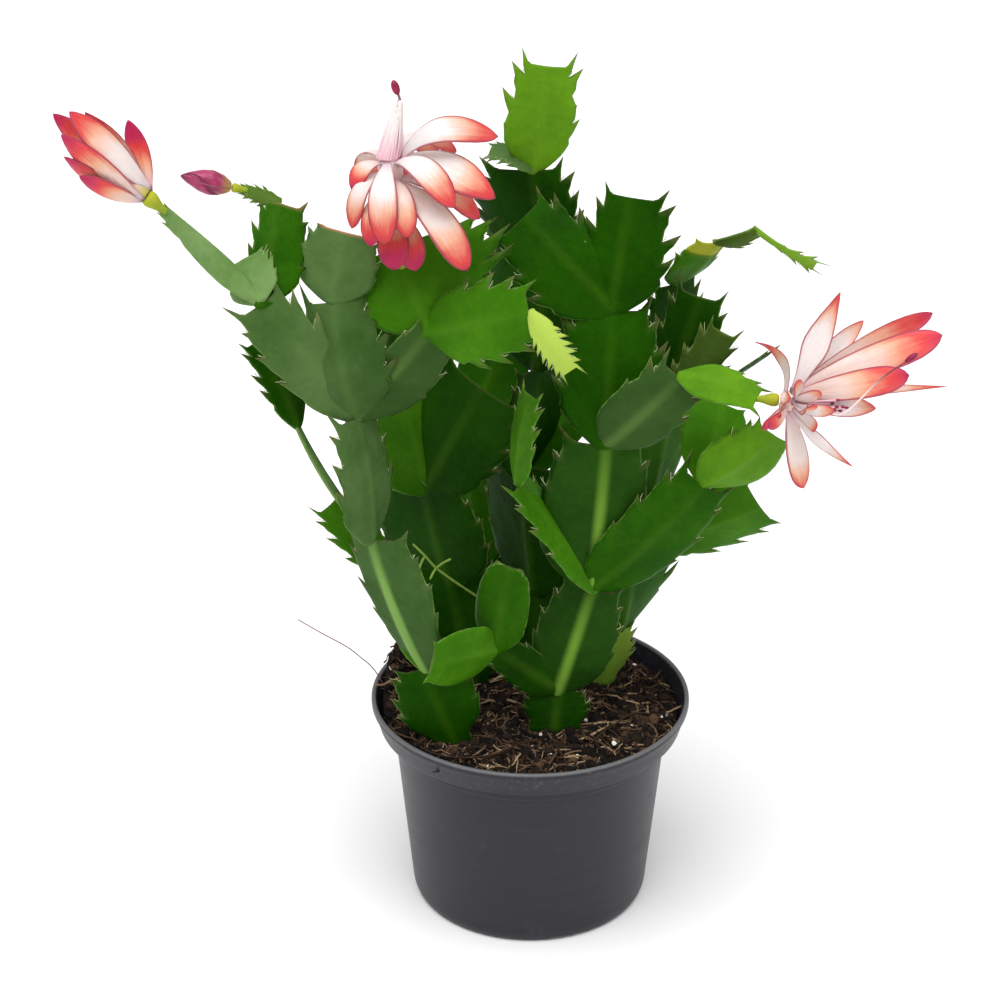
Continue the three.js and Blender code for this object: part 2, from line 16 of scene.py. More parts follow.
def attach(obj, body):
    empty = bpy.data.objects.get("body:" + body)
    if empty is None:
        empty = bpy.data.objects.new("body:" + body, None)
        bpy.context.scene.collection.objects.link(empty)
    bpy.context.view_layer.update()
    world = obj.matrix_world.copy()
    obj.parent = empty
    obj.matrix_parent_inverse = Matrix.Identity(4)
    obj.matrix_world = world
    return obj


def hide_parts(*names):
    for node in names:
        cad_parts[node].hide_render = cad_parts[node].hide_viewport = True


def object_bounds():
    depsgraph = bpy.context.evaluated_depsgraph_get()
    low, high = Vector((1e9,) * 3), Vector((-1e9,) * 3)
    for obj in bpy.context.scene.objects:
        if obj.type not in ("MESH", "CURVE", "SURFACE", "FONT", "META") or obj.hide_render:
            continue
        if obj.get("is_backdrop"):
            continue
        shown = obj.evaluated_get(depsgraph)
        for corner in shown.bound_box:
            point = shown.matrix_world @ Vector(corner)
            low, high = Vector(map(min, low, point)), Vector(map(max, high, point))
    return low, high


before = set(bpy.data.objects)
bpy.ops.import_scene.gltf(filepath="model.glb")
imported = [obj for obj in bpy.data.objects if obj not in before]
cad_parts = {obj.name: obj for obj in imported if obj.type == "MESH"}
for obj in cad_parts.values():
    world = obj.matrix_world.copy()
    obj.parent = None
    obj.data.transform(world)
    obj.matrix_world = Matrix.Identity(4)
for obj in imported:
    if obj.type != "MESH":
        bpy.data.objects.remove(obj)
cad_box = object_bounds()
MM = 0.001
print("CAD nodes:", len(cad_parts))

# %% [markdown]
# ## The view and the light
#
# The photo looks down on the pot by about 26 degrees through a long lens, so the camera stands
# 0.85 m in front. The studio is white and soft: a wide sun gives an even floor and soft shadows,
# and the white surroundings fill them. The Standard view transform keeps the leaf greens and the
# petal reds as strong as they are set, which a filmic one would wash out.

# %% Camera and lights
CAMERA_PLACE, LOOK_DOWN, LENS = (-0.0114, -0.8548, 0.5733), 25.62, 93.6
SKY_STRENGTH = 0.47
scene = bpy.context.scene
scene.view_settings.view_transform = "Standard"

camera_data = bpy.data.cameras.new("camera")
camera_data.lens = LENS
camera_data.sensor_width = 36
camera_data.clip_start = 0.05
camera = bpy.data.objects.new("camera", camera_data)
camera.location = CAMERA_PLACE
camera.rotation_euler = (math.radians(90 - LOOK_DOWN), 0, 0)
scene.collection.objects.link(camera)
scene.camera = camera

world = bpy.data.worlds.new("white studio")
world.use_nodes = True
sky = world.node_tree.nodes["Background"]
sky.inputs["Color"].default_value = (1.0, 1.0, 1.0, 1.0)
sky.inputs["Strength"].default_value = SKY_STRENGTH
scene.world = world


def add_sun(name, strength, softness, across, up):
    """A soft sun that shines from that many degrees across (0 is the front, minus is left) and up."""
    lamp = bpy.data.lights.new(name, "SUN")
    lamp.energy = strength
    lamp.angle = math.radians(softness)
    sun = bpy.data.objects.new(name, lamp)
    sun.rotation_euler = (math.radians(90 - up), 0, math.radians(across))
    scene.collection.objects.link(sun)


add_sun("key", 2.9, 58, -20, 72)
add_sun("fill", 0.40, 70, 50, 48)
print("suns:", len(bpy.data.lights))


# %% [markdown]
# ## Tools for node trees
#
# Finishes and growing shapes are both trees of nodes. One small class adds a node and joins or sets
# its inputs, and gives short names to the steps that the recipes use again and again. A finish is
# such a tree with its Principled surface.

# %% Trees and finishes
class Nodes:
    """A node tree to which recipes add their steps."""

    def __init__(self, tree):
        self.tree = tree

    def add(self, kind, inputs=None, **fields):
        """Adds a node and gives its outputs. A socket or a list of sockets is joined, a value is set."""
        made = self.tree.nodes.new(kind)
        for field, value in fields.items():
            setattr(made, field, value)
        for key, value in (inputs or {}).items():
            if isinstance(value, (bpy.types.NodeSocket, list)):
                for socket in value if isinstance(value, list) else [value]:
                    self.tree.links.new(socket, made.inputs[key])
            else:
                made.inputs[key].default_value = value
        return made.outputs

    def math(self, operation, a, b=0.0, c=0.0, clamp=False):
        return self.add("ShaderNodeMath", {0: a, 1: b, 2: c}, operation=operation, use_clamp=clamp)[0]

    def times(self, a, b, clamp=False):
        return self.math("MULTIPLY", a, b, clamp=clamp)

    def plus(self, value, share, more, clamp=False):
        """The value and a share of another one."""
        return self.math("MULTIPLY_ADD", more, share, value, clamp)

    def wander(self, value, amount, drift, clamp=False):
        """Moves the value up and down by half of the amount, as the drift goes from 0 to 1."""
        return self.plus(self.math("SUBTRACT", value, amount / 2), amount, drift, clamp)

    def ease(self, value, low, high, start=0.0, end=1.0):
        """Goes softly from start to end while value goes from low to high."""
        inputs = {"Value": value, "From Min": low, "From Max": high, "To Min": start, "To Max": end}
        return self.add("ShaderNodeMapRange", inputs, interpolation_type="SMOOTHSTEP")["Result"]

    def mix(self, share, first, second):
        """A colour between two others, each given as a socket or as red, green and blue."""
        inputs = {0: share, 6: first, 7: second}
        inputs.update({key: (*value, 1.0) for key, value in inputs.items() if isinstance(value, tuple)})
        return self.add("ShaderNodeMix", inputs, data_type="RGBA")[2]

    def ramp(self, value, stops):
        """A colour ramp from (position, colour) stops."""
        band = self.tree.nodes.new("ShaderNodeValToRGB")
        self.tree.links.new(value, band.inputs["Fac"])
        while len(band.color_ramp.elements) < len(stops):
            band.color_ramp.elements.new(0.5)
        for element, (position, colour) in zip(band.color_ramp.elements, stops):
            element.position = position
            element.color = (*colour, 1.0)
        return band.outputs["Color"]


class Finish(Nodes):
    """A material that reads its own object's coordinates and the facts written on its points."""

    def __init__(self, name, roughness, gloss):
        self.material = bpy.data.materials.new(name)
        self.material.use_nodes = True
        super().__init__(self.material.node_tree)
        self.surface = self.tree.nodes["Principled BSDF"].inputs
        self.surface["Roughness"].default_value = roughness
        self.surface["Specular IOR Level"].default_value = gloss
        self.where = self.add("ShaderNodeTexCoord")["Object"]

    def grain(self, scale, detail, roughness=0.55, where=None):
        inputs = {"Vector": where or self.where, "Scale": scale, "Detail": detail, "Roughness": roughness}
        return self.add("ShaderNodeTexNoise", inputs)["Fac"]

    def parts(self, vector):
        return tuple(self.add("ShaderNodeSeparateXYZ", {"Vector": vector}))

    def fact(self, name, part="Fac"):
        return self.add("ShaderNodeAttribute", attribute_name=name)[part]

    def shines_through(self, weight, radius, scale):
        for label, value in (("Weight", weight), ("Radius", radius), ("Scale", scale)):
            self.surface["Subsurface " + label].default_value = value

    def show(self, colour, layers=(), roughness=None, bump=None, depth=0.0):
        """Lays (share, colour) layers over the first colour, and joins what is given to the surface."""
        for share, tint in layers:
            colour = self.mix(share, colour, tint)
        self.tree.links.new(colour, self.surface["Base Color"])
        if roughness:
            self.tree.links.new(roughness, self.surface["Roughness"])
        if bump:
            bent = self.add("ShaderNodeBump", {"Height": bump, "Distance": depth, "Strength": 1.0})["Normal"]
            self.tree.links.new(bent, self.surface["Normal"])
        print("finish:", self.material.name)
        return self.material


# %% [markdown]
# ## The finish of the green segments
#
# A living segment is fleshy with a waxy skin. Its green runs from nearly black-green in old segments to
# lime in young ones, and it is painted darker on segments that sit in shade inside the plant and
# lighter on segments lit from above. Some carry a painted grey-blue sheen, the light that glances off
# the waxy skin. The midrib is a lighter yellow-green band, the edge is a thin pale line, and the felt
# spots at the teeth are the colour of straw.
# Every segment writes these facts on its own points: "look" holds tone, painted sheen, youth and cork,
# "place" holds how far along the point is and its distance in millimetres from rib and rim, and
# "ripe" turns the end pink (below 0) or yellow (above 0).

# %% Leaf finish
leaf = Finish("leaf_green", 0.45, 0.05)
tone, painted_sheen, youth = leaf.parts(leaf.fact("look", "Vector"))
cork = leaf.fact("look", "Alpha")
along, rib_gap, rim_gap = leaf.parts(leaf.fact("place", "Vector"))
ripe = leaf.fact("ripe")

clouds, mottle = leaf.grain(48, 3), leaf.grain(420, 4)
tone = leaf.wander(leaf.wander(tone, 0.36, clouds), 0.16, mottle)
# The tone sets the green of each segment, painted shade and painted light included
green = leaf.ramp(tone, [
    (0.0, (0.001, 0.011, 0.0002)), (0.3, (0.005, 0.036, 0.0003)), (0.52, (0.013, 0.076, 0.0004)),
    (0.78, (0.040, 0.160, 0.001)), (1.0, (0.105, 0.300, 0.004)),
])
# The painted sheen: grey-blue greens that stand for light glancing off the waxy skin
sheened = leaf.ramp(tone, [
    (0.0, (0.015, 0.038, 0.008)), (0.45, (0.050, 0.103, 0.026)), (0.75, (0.108, 0.190, 0.060)),
    (1.0, (0.205, 0.330, 0.120)),
])
rib = leaf.times(leaf.ease(rib_gap, 0.3, 3.2, 1.0, 0.0), leaf.fact("rib_light"))
rib = leaf.times(rib, leaf.ease(along, 0.35, 1.05, 1.0, 0.35))
rib_colour = leaf.mix(painted_sheen, (0.16, 0.33, 0.022), (0.20, 0.35, 0.10))
rim = leaf.times(leaf.ease(rim_gap, 0.1, 0.6, 1.0, 0.0), leaf.ease(mottle, 0.35, 0.6, 0.1, 0.6))
rosy = leaf.times(leaf.times(ripe, -1.0, clamp=True), leaf.ease(mottle, 0.3, 0.55, 0.5, 1.0))
skin = leaf.plus(leaf.grain(230, 3), 0.35, leaf.grain(1500, 2))
# The first layer lays the painted sheen over the green
leaf_green = leaf.show(green, [
    (leaf.times(painted_sheen, leaf.ease(clouds, 0.25, 0.6, 0.75, 1.0)), sheened),
    (youth, (0.42, 0.55, 0.09)),
    (leaf.times(rib, 0.9, clamp=True), rib_colour),
    (rim, (0.20, 0.33, 0.08)),
    (leaf.times(cork, leaf.ease(mottle, 0.3, 0.62, 0.35, 0.85)), (0.15, 0.10, 0.055)),
    (rosy, (0.52, 0.23, 0.14)),
    (leaf.times(ripe, leaf.ease(clouds, 0.2, 0.7, 0.75, 1.0), clamp=True), (0.42, 0.42, 0.035)),
], leaf.plus(leaf.plus(0.30, 0.22, mottle), 0.3, cork, clamp=True), skin, 0.00045)
leaf.shines_through(0.12, (0.4, 1.0, 0.15), 0.002)
leaf.surface["Specular Tint"].default_value = (0.6, 1.0, 0.4, 1.0)

# %% [markdown]
# ## The finish of the petals
#
# A petal is white with a breath of pink at its root, warms through peach to orange-red at its tip,
# and has a thin dark red line along its edge. Fine lengthwise veins show in the light.
# "petal" holds how far along the point is, its distance from the edge as a share, and how far
# across it lies; "blush" says how red, how peach and how green the whole petal is.

# %% Petal finish
flower = Finish("petal_pink", 0.42, 0.35)
along, inset, across = flower.parts(flower.fact("petal", "Vector"))
redness, peach, unripe = flower.parts(flower.fact("blush", "Vector"))
lengthwise = flower.add("ShaderNodeCombineXYZ", {
    "X": flower.times(across, 9.0), "Y": along, "Z": flower.times(redness, 5.0),
})["Vector"]
veins, flush = flower.grain(2.4, 3, where=lengthwise), flower.grain(160, 2)
reach = flower.wander(flower.wander(flower.plus(along, 0.42, redness), 0.16, flush), 0.22, veins)
warm = flower.plus(reach, 0.13, flower.ease(inset, 0.0, 0.62, 1.0, 0.0))
edge_line = flower.times(flower.ease(inset, 0.05, 0.19, 0.95, 0.0), flower.ease(along, 0.02, 0.3, 0.45, 1.0))
petal_pink = flower.show(flower.mix(peach, (0.93, 0.81, 0.80), (0.94, 0.56, 0.46)), [
    (flower.ease(warm, 0.58, 0.86, 0.0, 0.85), (0.93, 0.35, 0.19)),
    (flower.ease(warm, 0.77, 1.03), (0.79, 0.048, 0.050)),
    (flower.ease(reach, 0.98, 1.2), (0.52, 0.010, 0.085)),
    (flower.ease(along, 0.0, 0.22, 0.6, 0.0), (0.88, 0.50, 0.62)),
    (unripe, (0.46, 0.42, 0.05)),
    (edge_line, (0.33, 0.022, 0.055)),
], flower.plus(0.30, 0.25, flush), flower.plus(veins, 0.3, flush), 0.00035)
flower.shines_through(0.4, (1.0, 0.5, 0.45), 0.0035)


# %% [markdown]
# ## Smaller finishes
#
# The stamens are white threads, flushed with pink at their foot, and the stigma is deep magenta. The
# soil is peat: crumbs from black-brown to tan, pale dry fibres and a little white perlite. Each
# scattered grain carries a random "shade".

# %% Finishes of threads and grains
# The flush at the foot of the top bloom's stamens lies between these heights, and the style of the
# right bloom fades between these places to the right, both in metres
FLUSH_HEIGHTS, FADE_PLACES = (0.304, 0.318), (0.108, 0.116)


def streaked(name, dark, light, scale, roughness=0.5, gloss=0.3, depth=0.0002, start=0.25, fade=None):
    """A finish that wanders between two shades, and may fade to a tint along an axis of its object."""
    finish = Finish(name, roughness, gloss)
    drift = finish.grain(scale, 4)
    layers = []
    if fade:
        axis, low, high, first, last, tint = fade
        layers = [(finish.ease(finish.parts(finish.where)[axis], low, high, first, last), tint)]
    return finish.show(finish.ramp(drift, [(start, dark), (0.8, light)]), layers,
                       finish.plus(roughness - 0.1, 0.2, drift), finish.grain(scale * 4, 2), depth)


def grainy(name, stops, roughness, scale):
    """A finish for scattered grains: each takes its colour from its own shade, with fine noise."""
    finish = Finish(name, roughness, 0.2)
    fine = finish.grain(scale, 4)
    shade = finish.wander(finish.fact("shade"), 0.5, fine, clamp=True)
    return finish.show(finish.ramp(shade, stops), bump=fine, depth=0.0006)


stamen_white = streaked("stamen_white", (0.84, 0.75, 0.74), (0.89, 0.83, 0.81), 400, depth=0.0001, start=0.2,
                        fade=(2, *FLUSH_HEIGHTS, 0.8, 0.0, (0.88, 0.52, 0.62)))
pistil_magenta = streaked("pistil_magenta", (0.17, 0.002, 0.03), (0.38, 0.006, 0.075), 500, 0.42, 0.4)
style_dusk = streaked("style_dusk", (0.16, 0.05, 0.07), (0.42, 0.22, 0.22), 500, 0.45)
style_fading = streaked("style_fading", (0.14, 0.03, 0.05), (0.30, 0.10, 0.11), 500, 0.45,
                        fade=(0, *FADE_PLACES, 1.0, 0.0, (0.92, 0.72, 0.70)))
young_root = streaked("young_root", (0.16, 0.30, 0.03), (0.36, 0.50, 0.10), 300, gloss=0.2, depth=0.0001,
                      start=0.2)
straw = streaked("straw", (0.34, 0.40, 0.17), (0.62, 0.66, 0.42), 700, gloss=0.2, depth=0.0001)
peat = grainy("peat", [
    (0.0, (0.0025, 0.0015, 0.001)), (0.45, (0.008, 0.0046, 0.0029)), (0.75, (0.024, 0.013, 0.0075)),
    (1.0, (0.10, 0.055, 0.029)),
], 0.85, 900)
dry_fibre = grainy("dry_fibre", [
    (0.0, (0.03, 0.015, 0.008)), (0.6, (0.11, 0.062, 0.034)), (1.0, (0.38, 0.26, 0.15)),
], 0.75, 600)
perlite = grainy("perlite", [(0.0, (0.45, 0.41, 0.36)), (1.0, (0.85, 0.83, 0.78))], 0.7, 500)

# %% [markdown]
# ## The bud's finish, the pot's plastic and the floor
#
# The bud's wrapped petals show as darker spiral seams on magenta, paler at the foot.
# The pot is moulded black-grey plastic with a satin skin: a fine grain, faint flow marks round it,
# a few scuffs where the colour is lighter, peat dust near the rim, and a painted highlight along the lip.
# The floor is only the stage: a wide pale sheet, with a little noise against a dead flat colour.

# %% Bud, pot and floor finishes
SEAM_TWIST, SEAMS_ROUND, SEAM_DEPTH = 9.0, 18.85, 0.05
DUSTY_BAND, LIP_HIGHLIGHT = (0.066, 0.084), (0.0818, 0.0828)
bud = Finish("bud_magenta", 0.38, 0.4)
along, _, turn = bud.parts(bud.fact("petal", "Vector"))
seam = bud.ease(bud.math("SINE", bud.plus(bud.times(turn, SEAMS_ROUND), SEAM_TWIST, along)), 0.55, 1.0)
drift = bud.grain(350, 3)
under = bud.ease(bud.math("COSINE", bud.times(turn, 6.283)), -0.6, 0.8)
bud_magenta = bud.show(bud.mix(bud.ease(drift, 0.3, 0.7), (0.27, 0.014, 0.075), (0.44, 0.04, 0.14)), [
    (bud.times(under, 0.55), (0.66, 0.27, 0.30)),
    (bud.times(seam, 0.75), (0.13, 0.006, 0.035)),
    (bud.ease(along, 0.8, 1.0, 0.0, 0.8), (0.10, 0.006, 0.03)),
    (bud.ease(along, 0.02, 0.3, 0.95, 0.0), (0.42, 0.27, 0.07)),
], bump=bud.plus(drift, -1.2, seam), depth=0.0004)

plastic = Finish("pot_plastic", 0.4, 0.3)
height = plastic.parts(plastic.where)[2]
stretch = plastic.add("ShaderNodeMapping", {"Vector": plastic.where, "Scale": (1.0, 1.0, 9.0)})["Vector"]
flow = plastic.grain(22, 4, where=stretch)
scuffs = plastic.ease(plastic.grain(75, 6, 0.7), 0.60, 0.74)
dust = plastic.times(plastic.ease(height, *DUSTY_BAND), plastic.ease(plastic.grain(520, 5), 0.56, 0.68))
pot_plastic = plastic.show(plastic.mix(flow, (0.011, 0.0112, 0.0165), (0.020, 0.0205, 0.029)), [
    (plastic.times(scuffs, 0.22), (0.075, 0.075, 0.082)),
    (plastic.times(dust, 0.5), (0.12, 0.085, 0.06)),
    # A painted highlight: the lip's band is lighter where light runs along the rim
    (plastic.ease(height, *LIP_HIGHLIGHT, 0.0, 0.55), (0.22, 0.22, 0.23)),
], plastic.plus(plastic.plus(0.33, 0.14, flow), 0.12, scuffs), plastic.plus(flow, 0.5, plastic.grain(2600, 2)),
    0.00016)

# %% Floor
FLOOR_REACH = 9.0
paper = Finish("pale_floor", 0.8, 0.1)
pale_floor = paper.show(paper.mix(paper.grain(6, 2), (0.90, 0.90, 0.90), (0.93, 0.93, 0.93)))
floor_mesh = bpy.data.meshes.new("floor")
corners = [(x * FLOOR_REACH, y * FLOOR_REACH, 0) for x, y in ((-1, -1), (1, -1), (1, 1), (-1, 1))]
floor_mesh.from_pydata(corners, [], [(0, 1, 2, 3)])
floor_mesh.materials.append(pale_floor)
floor = bpy.data.objects.new("floor", floor_mesh)
scene.collection.objects.link(floor)
floor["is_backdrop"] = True
print("floor at z = 0")


# %% [markdown]
# ## Collecting a piece
#
# One leafy stem is one grown body, so all its segments end in one mesh. A small collector takes the
# points and faces of each part in millimetres, with the facts that the finish reads, and makes the
# mesh in metres. Every piece rides on the plant's one body.

# %% The collector, and how a piece joins the frame
FACT_KINDS = {1: ("FLOAT", "value"), 3: ("FLOAT_VECTOR", "vector"), 4: ("FLOAT_COLOR", "color")}


def new_piece(name, mesh, node=None):
    """Puts a mesh in the scene as a piece on the plant's one body."""
    piece = bpy.data.objects.new(name, mesh)
    scene.collection.objects.link(piece)
    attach(piece, "root")
    if node:
        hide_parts(node)
    mesh.calc_loop_triangles()
    print(f"{name}: {len(mesh.loop_triangles)} triangles")


class Gathered:
    """Points, faces and facts of one piece. A fact is a name with that many numbers for each point."""

    def __init__(self, **sizes):
        self.sizes = sizes
        self.points, self.faces, self.count = [], [], 0
        self.facts = {name: [] for name in sizes}

    def take(self, points, faces, **facts):
        points = np.asarray(points, float).reshape(-1, 3)
        self.points.append(points)
        self.faces.extend([tuple(i + self.count for i in face) for face in faces])
        for name, size in self.sizes.items():
            self.facts[name].append(np.broadcast_to(np.asarray(facts[name], float), (len(points), size)))
        self.count += len(points)

    def piece(self, name, finish, slot, node=None):
        """Makes the mesh in metres, gives it its finish and puts it on the plant."""
        made = bpy.data.meshes.new(name)
        made.from_pydata((np.concatenate(self.points) * MM).tolist(), [], self.faces)
        for fact, size in self.sizes.items():
            kind, field = FACT_KINDS[size]
            layer = made.attributes.new(fact, kind, "POINT")
            layer.data.foreach_set(field, np.concatenate(self.facts[fact]).astype(np.float32).ravel())
        made.shade_smooth()
        made.update()
        made.materials.append(finish)
        new_piece(name, made, node)


# %% [markdown]
# ## The leafy stems
#
# Each row is a segment, as in the CAD source: its name, the one it grows from, the x, y and z of its
# tip, its width, how far its face turns from the front in degrees, and how far its middle bows out.
# The last word is its finish; its tone paints shade on segments deep inside the plant and light on segments lit
# from above. All lengths are in millimetres.

# %% Table of the stems
STEM_START = 80
STEMS = {
    "stem_left": ([-29, -29, 8], [
        ("a1", "", -39, -29, 110, 32, 0, 1, "rich"),
        ("a2", "a1", -56.7, -39, 167.5, 32, -35, 2, "ribbed_sheened"),
        ("a3", "a2", -61, -36, 213, 30, 60, 2, "sheened"),
        ("a4", "a2", -82, -30, 207, 14, 80, 2, "sheened_pale"),
        ("a5", "a4", -96, -28, 237, 21, 50, 2, "mid"),
        ("a6", "a1", -50, -16, 140, 15, 30, 0, "bright"),
        ("a7", "a6", -73, -20, 171, 15, 20, 2, "bright"),
        ("a8", "a3", -91, -52, 260.9, 25, 15, 2, "sheened"),
        ("a9", "a3", -68.1, -38, 256.2, 25, 0, 3, "sheened_mid"),
        ("a10", "a3", -34.8, -44, 247.4, 29, 12, 0, "sheened_dark"),
        ("a11", "a8", -120.1, -60, 295.9, 13, 35, -2, "sheened_pale"),
        ("a12", "a8", -97, -38, 276, 21, -15, 1, "sheened_pale"),
        ("a13", "a9", -62.5, -34, 279.1, 28, -8, 1, "sheened"),
        ("a14", "a8", -85.7, -22, 285.2, 18, 10, 1, "mid"),
        ("a15", "a14", -97.8, -24, 290.3, 7, 50, 0, "olive"),
        ("a16", "a10", -44, -34, 267, 27, 0, 1, "bright"),
        ("a17", "a10", -1.1, -60, 259.9, 29, -15, 3, "bright"),
        ("a18", "a17", 11.6, -68, 242.5, 12, 0, 3, "young"),
    ]),
    "stem_middle": ([9, -20, 10.5], [
        ("b1", "", 10, -18, 94, 26, 0, 0, "dark"),
        ("b2", "b1", 22, -20, 138, 32, 0, 1, "ribbed"),
        ("b3", "b2", 25.9, -26, 197.9, 40, 0, 2, "ribbed"),
        ("b4", "b2", 60.5, -28, 183.8, 32, 12, 3, "mid"),
        ("b5", "b2", -5, -28, 184, 20, 66, 1, "bright"),
        ("b6", "b5", -1, -26, 216.7, 20, -64, 1, "bright"),
        ("b7", "b3", 27.3, -14, 243.6, 39, 0, 2, "rich"),
        ("b8", "b3", 50.4, -38, 228.4, 27, 0, 2, "sheened_dark"),
        ("b9", "b8", 75.9, -48, 224.3, 20, -70, 2, "fresh"),
        ("b10", "b7", 33.4, -4, 281.3, 29, -12, 1, "rich"),
        ("b11", "b7", -4, -2, 273, 31, 18, 2, "rich"),
        ("b12", "b4", 83.4, -34, 205.3, 29, 20, 2, "fresh"),
        ("b13", "b4", 67.6, -8, 205.4, 28, 10, 1, "bright"),
        ("c1", "b1", -13, -26, 116, 17, 15, 0, "dark"),
        ("c2", "c1", -35.9, -48, 122.2, 25, 5, 1, "bright"),
        ("c3", "c1", -8, -32, 153.1, 22, -20, 1, "mid"),
    ]),
    "stem_right": ([29, 15, 6], [
        ("e1", "", 34, 14, 103, 18, 30, 0, "yellowed"),
        ("e2", "e1", 39, 10, 142, 22, 40, 1, "mid"),
        ("e3", "e2", 80.1, -4, 161.9, 25, 15, 2, "bright"),
        ("e4", "e2", 50, 14, 192, 29, 40, 1, "mid"),
        ("e5", "e4", 60, 14, 238, 26, -20, 1, "dark"),
        ("e6", "e4", 68, 4, 228, 17, 0, 0, "olive"),
        ("e7", "e4", 88.3, -2, 225.4, 8, 70, 1, "deep"),
    ]),
    "stem_back": ([0, 26, 7], [
        ("f1", "", 2, 24, 114, 34, 25, 1, "dark"),
        ("f2", "f1", -2, 22, 163, 36, -35, 1, "dark"),
        ("f3", "f2", 2, 20, 208, 34, 55, 1, "dark"),
        ("f4", "f3", 6, 20, 250, 31, -25, 1, "dark"),
        ("f5", "f4", 0, 14, 285, 31, -20, 1, "dark"),
        ("f6", "f5", 4.9, 6, 322.7, 24, 0, 2, "sunny"),
        ("f7", "f5", -15, 16, 291, 16, 75, 2, "sheened"),
        ("f9", "f2", 16, 58, 192, 32, 125, 3, "mid"),
    ]),
    "stem_back_left": ([-22, 14, 7], [
        ("g1", "", -30, 16, 121, 38, 0, 1, "dark"),
        ("g2", "g1", -39, 12, 162, 40, -25, 1, "dark"),
        ("g3", "g2", -46, 6, 200, 32, 30, 1, "bright"),
        ("g4", "g2", -19, 0, 205, 32, -20, 1, "dark"),
        ("g5", "g3", -50.2, 14, 236.4, 30, 55, 1, "dark"),
        ("g7", "g2", -69, 34, 178, 32, -50, 3, "mid"),
    ]),
    "stem_back_right": ([17, 41, 6], [
        ("h1", "", 28, 46, 114, 32, 150, 1, "dark"),
        ("h2", "h1", 42, 50, 158, 34, 195, 2, "dark"),
        ("h3", "h2", 50, 36, 202, 31, 55, 1, "rich"),
        ("h4", "h3", 52.3, 30, 236.5, 28, 30, 1, "dark"),
        ("h5", "h4", 65.6, 20, 255.5, 15, 45, 2, "bright"),
        ("h6", "h5", 79.4, 14, 262.1, 8, 30, 2, "olive"),
        ("h7", "h6", 100, 8, 251, 4, 0, 3, "lime"),
        ("h8", "h2", 66, 70, 184, 32, 125, 3, "bright"),
    ]),
    "stem_rear": ([-16, 42, 6], [
        ("i1", "", -19, 48, 114, 33, 205, 1, "dark"),
        ("i2", "i1", -26, 57, 159, 34, 160, 2, "mid"),
        ("i3", "i2", -50, 70, 192, 32, 215, 3, "bright"),
        ("i4", "i2", -8, 70, 202, 32, 150, 2, "mid"),
        ("i6", "i4", -4, 60, 244, 30, 200, 2, "bright"),
    ]),
}
# Tone, painted sheen, youth and how light the rib is, of each finish word. The dark, deep and rich tones are
# partly the green of old segments and partly painted shade on segments inside the plant; sunny, fresh and
# bright are partly painted light on segments lit from above.
FINISH_WORDS = {
    "deep": (0.16, 0.0, 0.0, 0.05), "dark": (0.37, 0.04, 0.0, 0.12), "rich": (0.44, 0.0, 0.0, 0.08),
    "mid": (0.55, 0.03, 0.0, 0.1), "bright": (0.76, 0.05, 0.0, 0.12), "fresh": (0.86, 0.0, 0.06, 0.2),
    "lime": (0.9, 0.0, 0.3, 0.3), "young": (0.95, 0.0, 0.9, 0.1), "yellowed": (0.7, 0.0, 0.35, 0.5),
    "olive": (0.42, 0.35, 0.12, 0.1), "sheened": (0.60, 0.9, 0.0, 0.08), "sheened_dark": (0.44, 0.75, 0.0, 0.3),
    "sheened_mid": (0.50, 0.85, 0.0, 0.12), "sunny": (0.98, 0.0, 0.08, 0.2),
    "sheened_pale": (0.92, 0.95, 0.0, 0.1), "ribbed": (0.38, 0.2, 0.0, 1.0), "ribbed_sheened": (0.50, 0.7, 0.0, 1.7),
}
print("segments:", sum(len(rows) for _, rows in STEMS.values()))

# %% [markdown]
# ## One segment
#
# A segment is a thin fleshy blade. Its edge rises from a narrow base in a round shoulder, then
# steps forward in lobes that each end in a small pointed tooth, and closes in two horns beside a
# flat end. The rows of the mesh run from the rib to the edge and lean forward near it, as the
# teeth do, so a tooth may hook forward without its faces crossing. The two faces share the points
# of the edge, so the body is closed.

# %% Forms of the segments
# Shares of the half width along a segment: of the edge up to its first tooth, and of the body
EDGE_BASE = [(-0.04, 0.2), (0.0, 0.32), (0.045, 0.44), (0.1, 0.58), (0.16, 0.71), (0.22, 0.81), (0.28, 0.88)]
BODY = [(-0.05, 0.2), (0.1, 0.58), (0.22, 0.81), (0.34, 0.91), (0.5, 0.95), (0.66, 0.91), (0.8, 0.82),
        (0.93, 0.70), (1.0, 0.62)]
BODY_T, BODY_SHARE = np.array(BODY).T
# Where the columns of the mesh lie between rib and edge, and how far out they stay free of the teeth
COLUMNS = np.array([0, 0.035, 0.075, 0.13, 0.21, 0.34, 0.5, 0.64, 0.76, 0.89, 1.0])
INNER = 0.76
# A usual tooth steps out this far, in millimetres, on a segment of that half width
STEP_SIZE, STEP_HALF = 3.3, 15
FIRST_TOOTH, LAST_TOOTH = 0.3, 0.93
LARGEST_STEP, TOOTH_LEAN = 1.25, 1.35
TOOTH_CORK, HOLLOW_CORK, END_CORK = 0.95, 0.3, 0.55

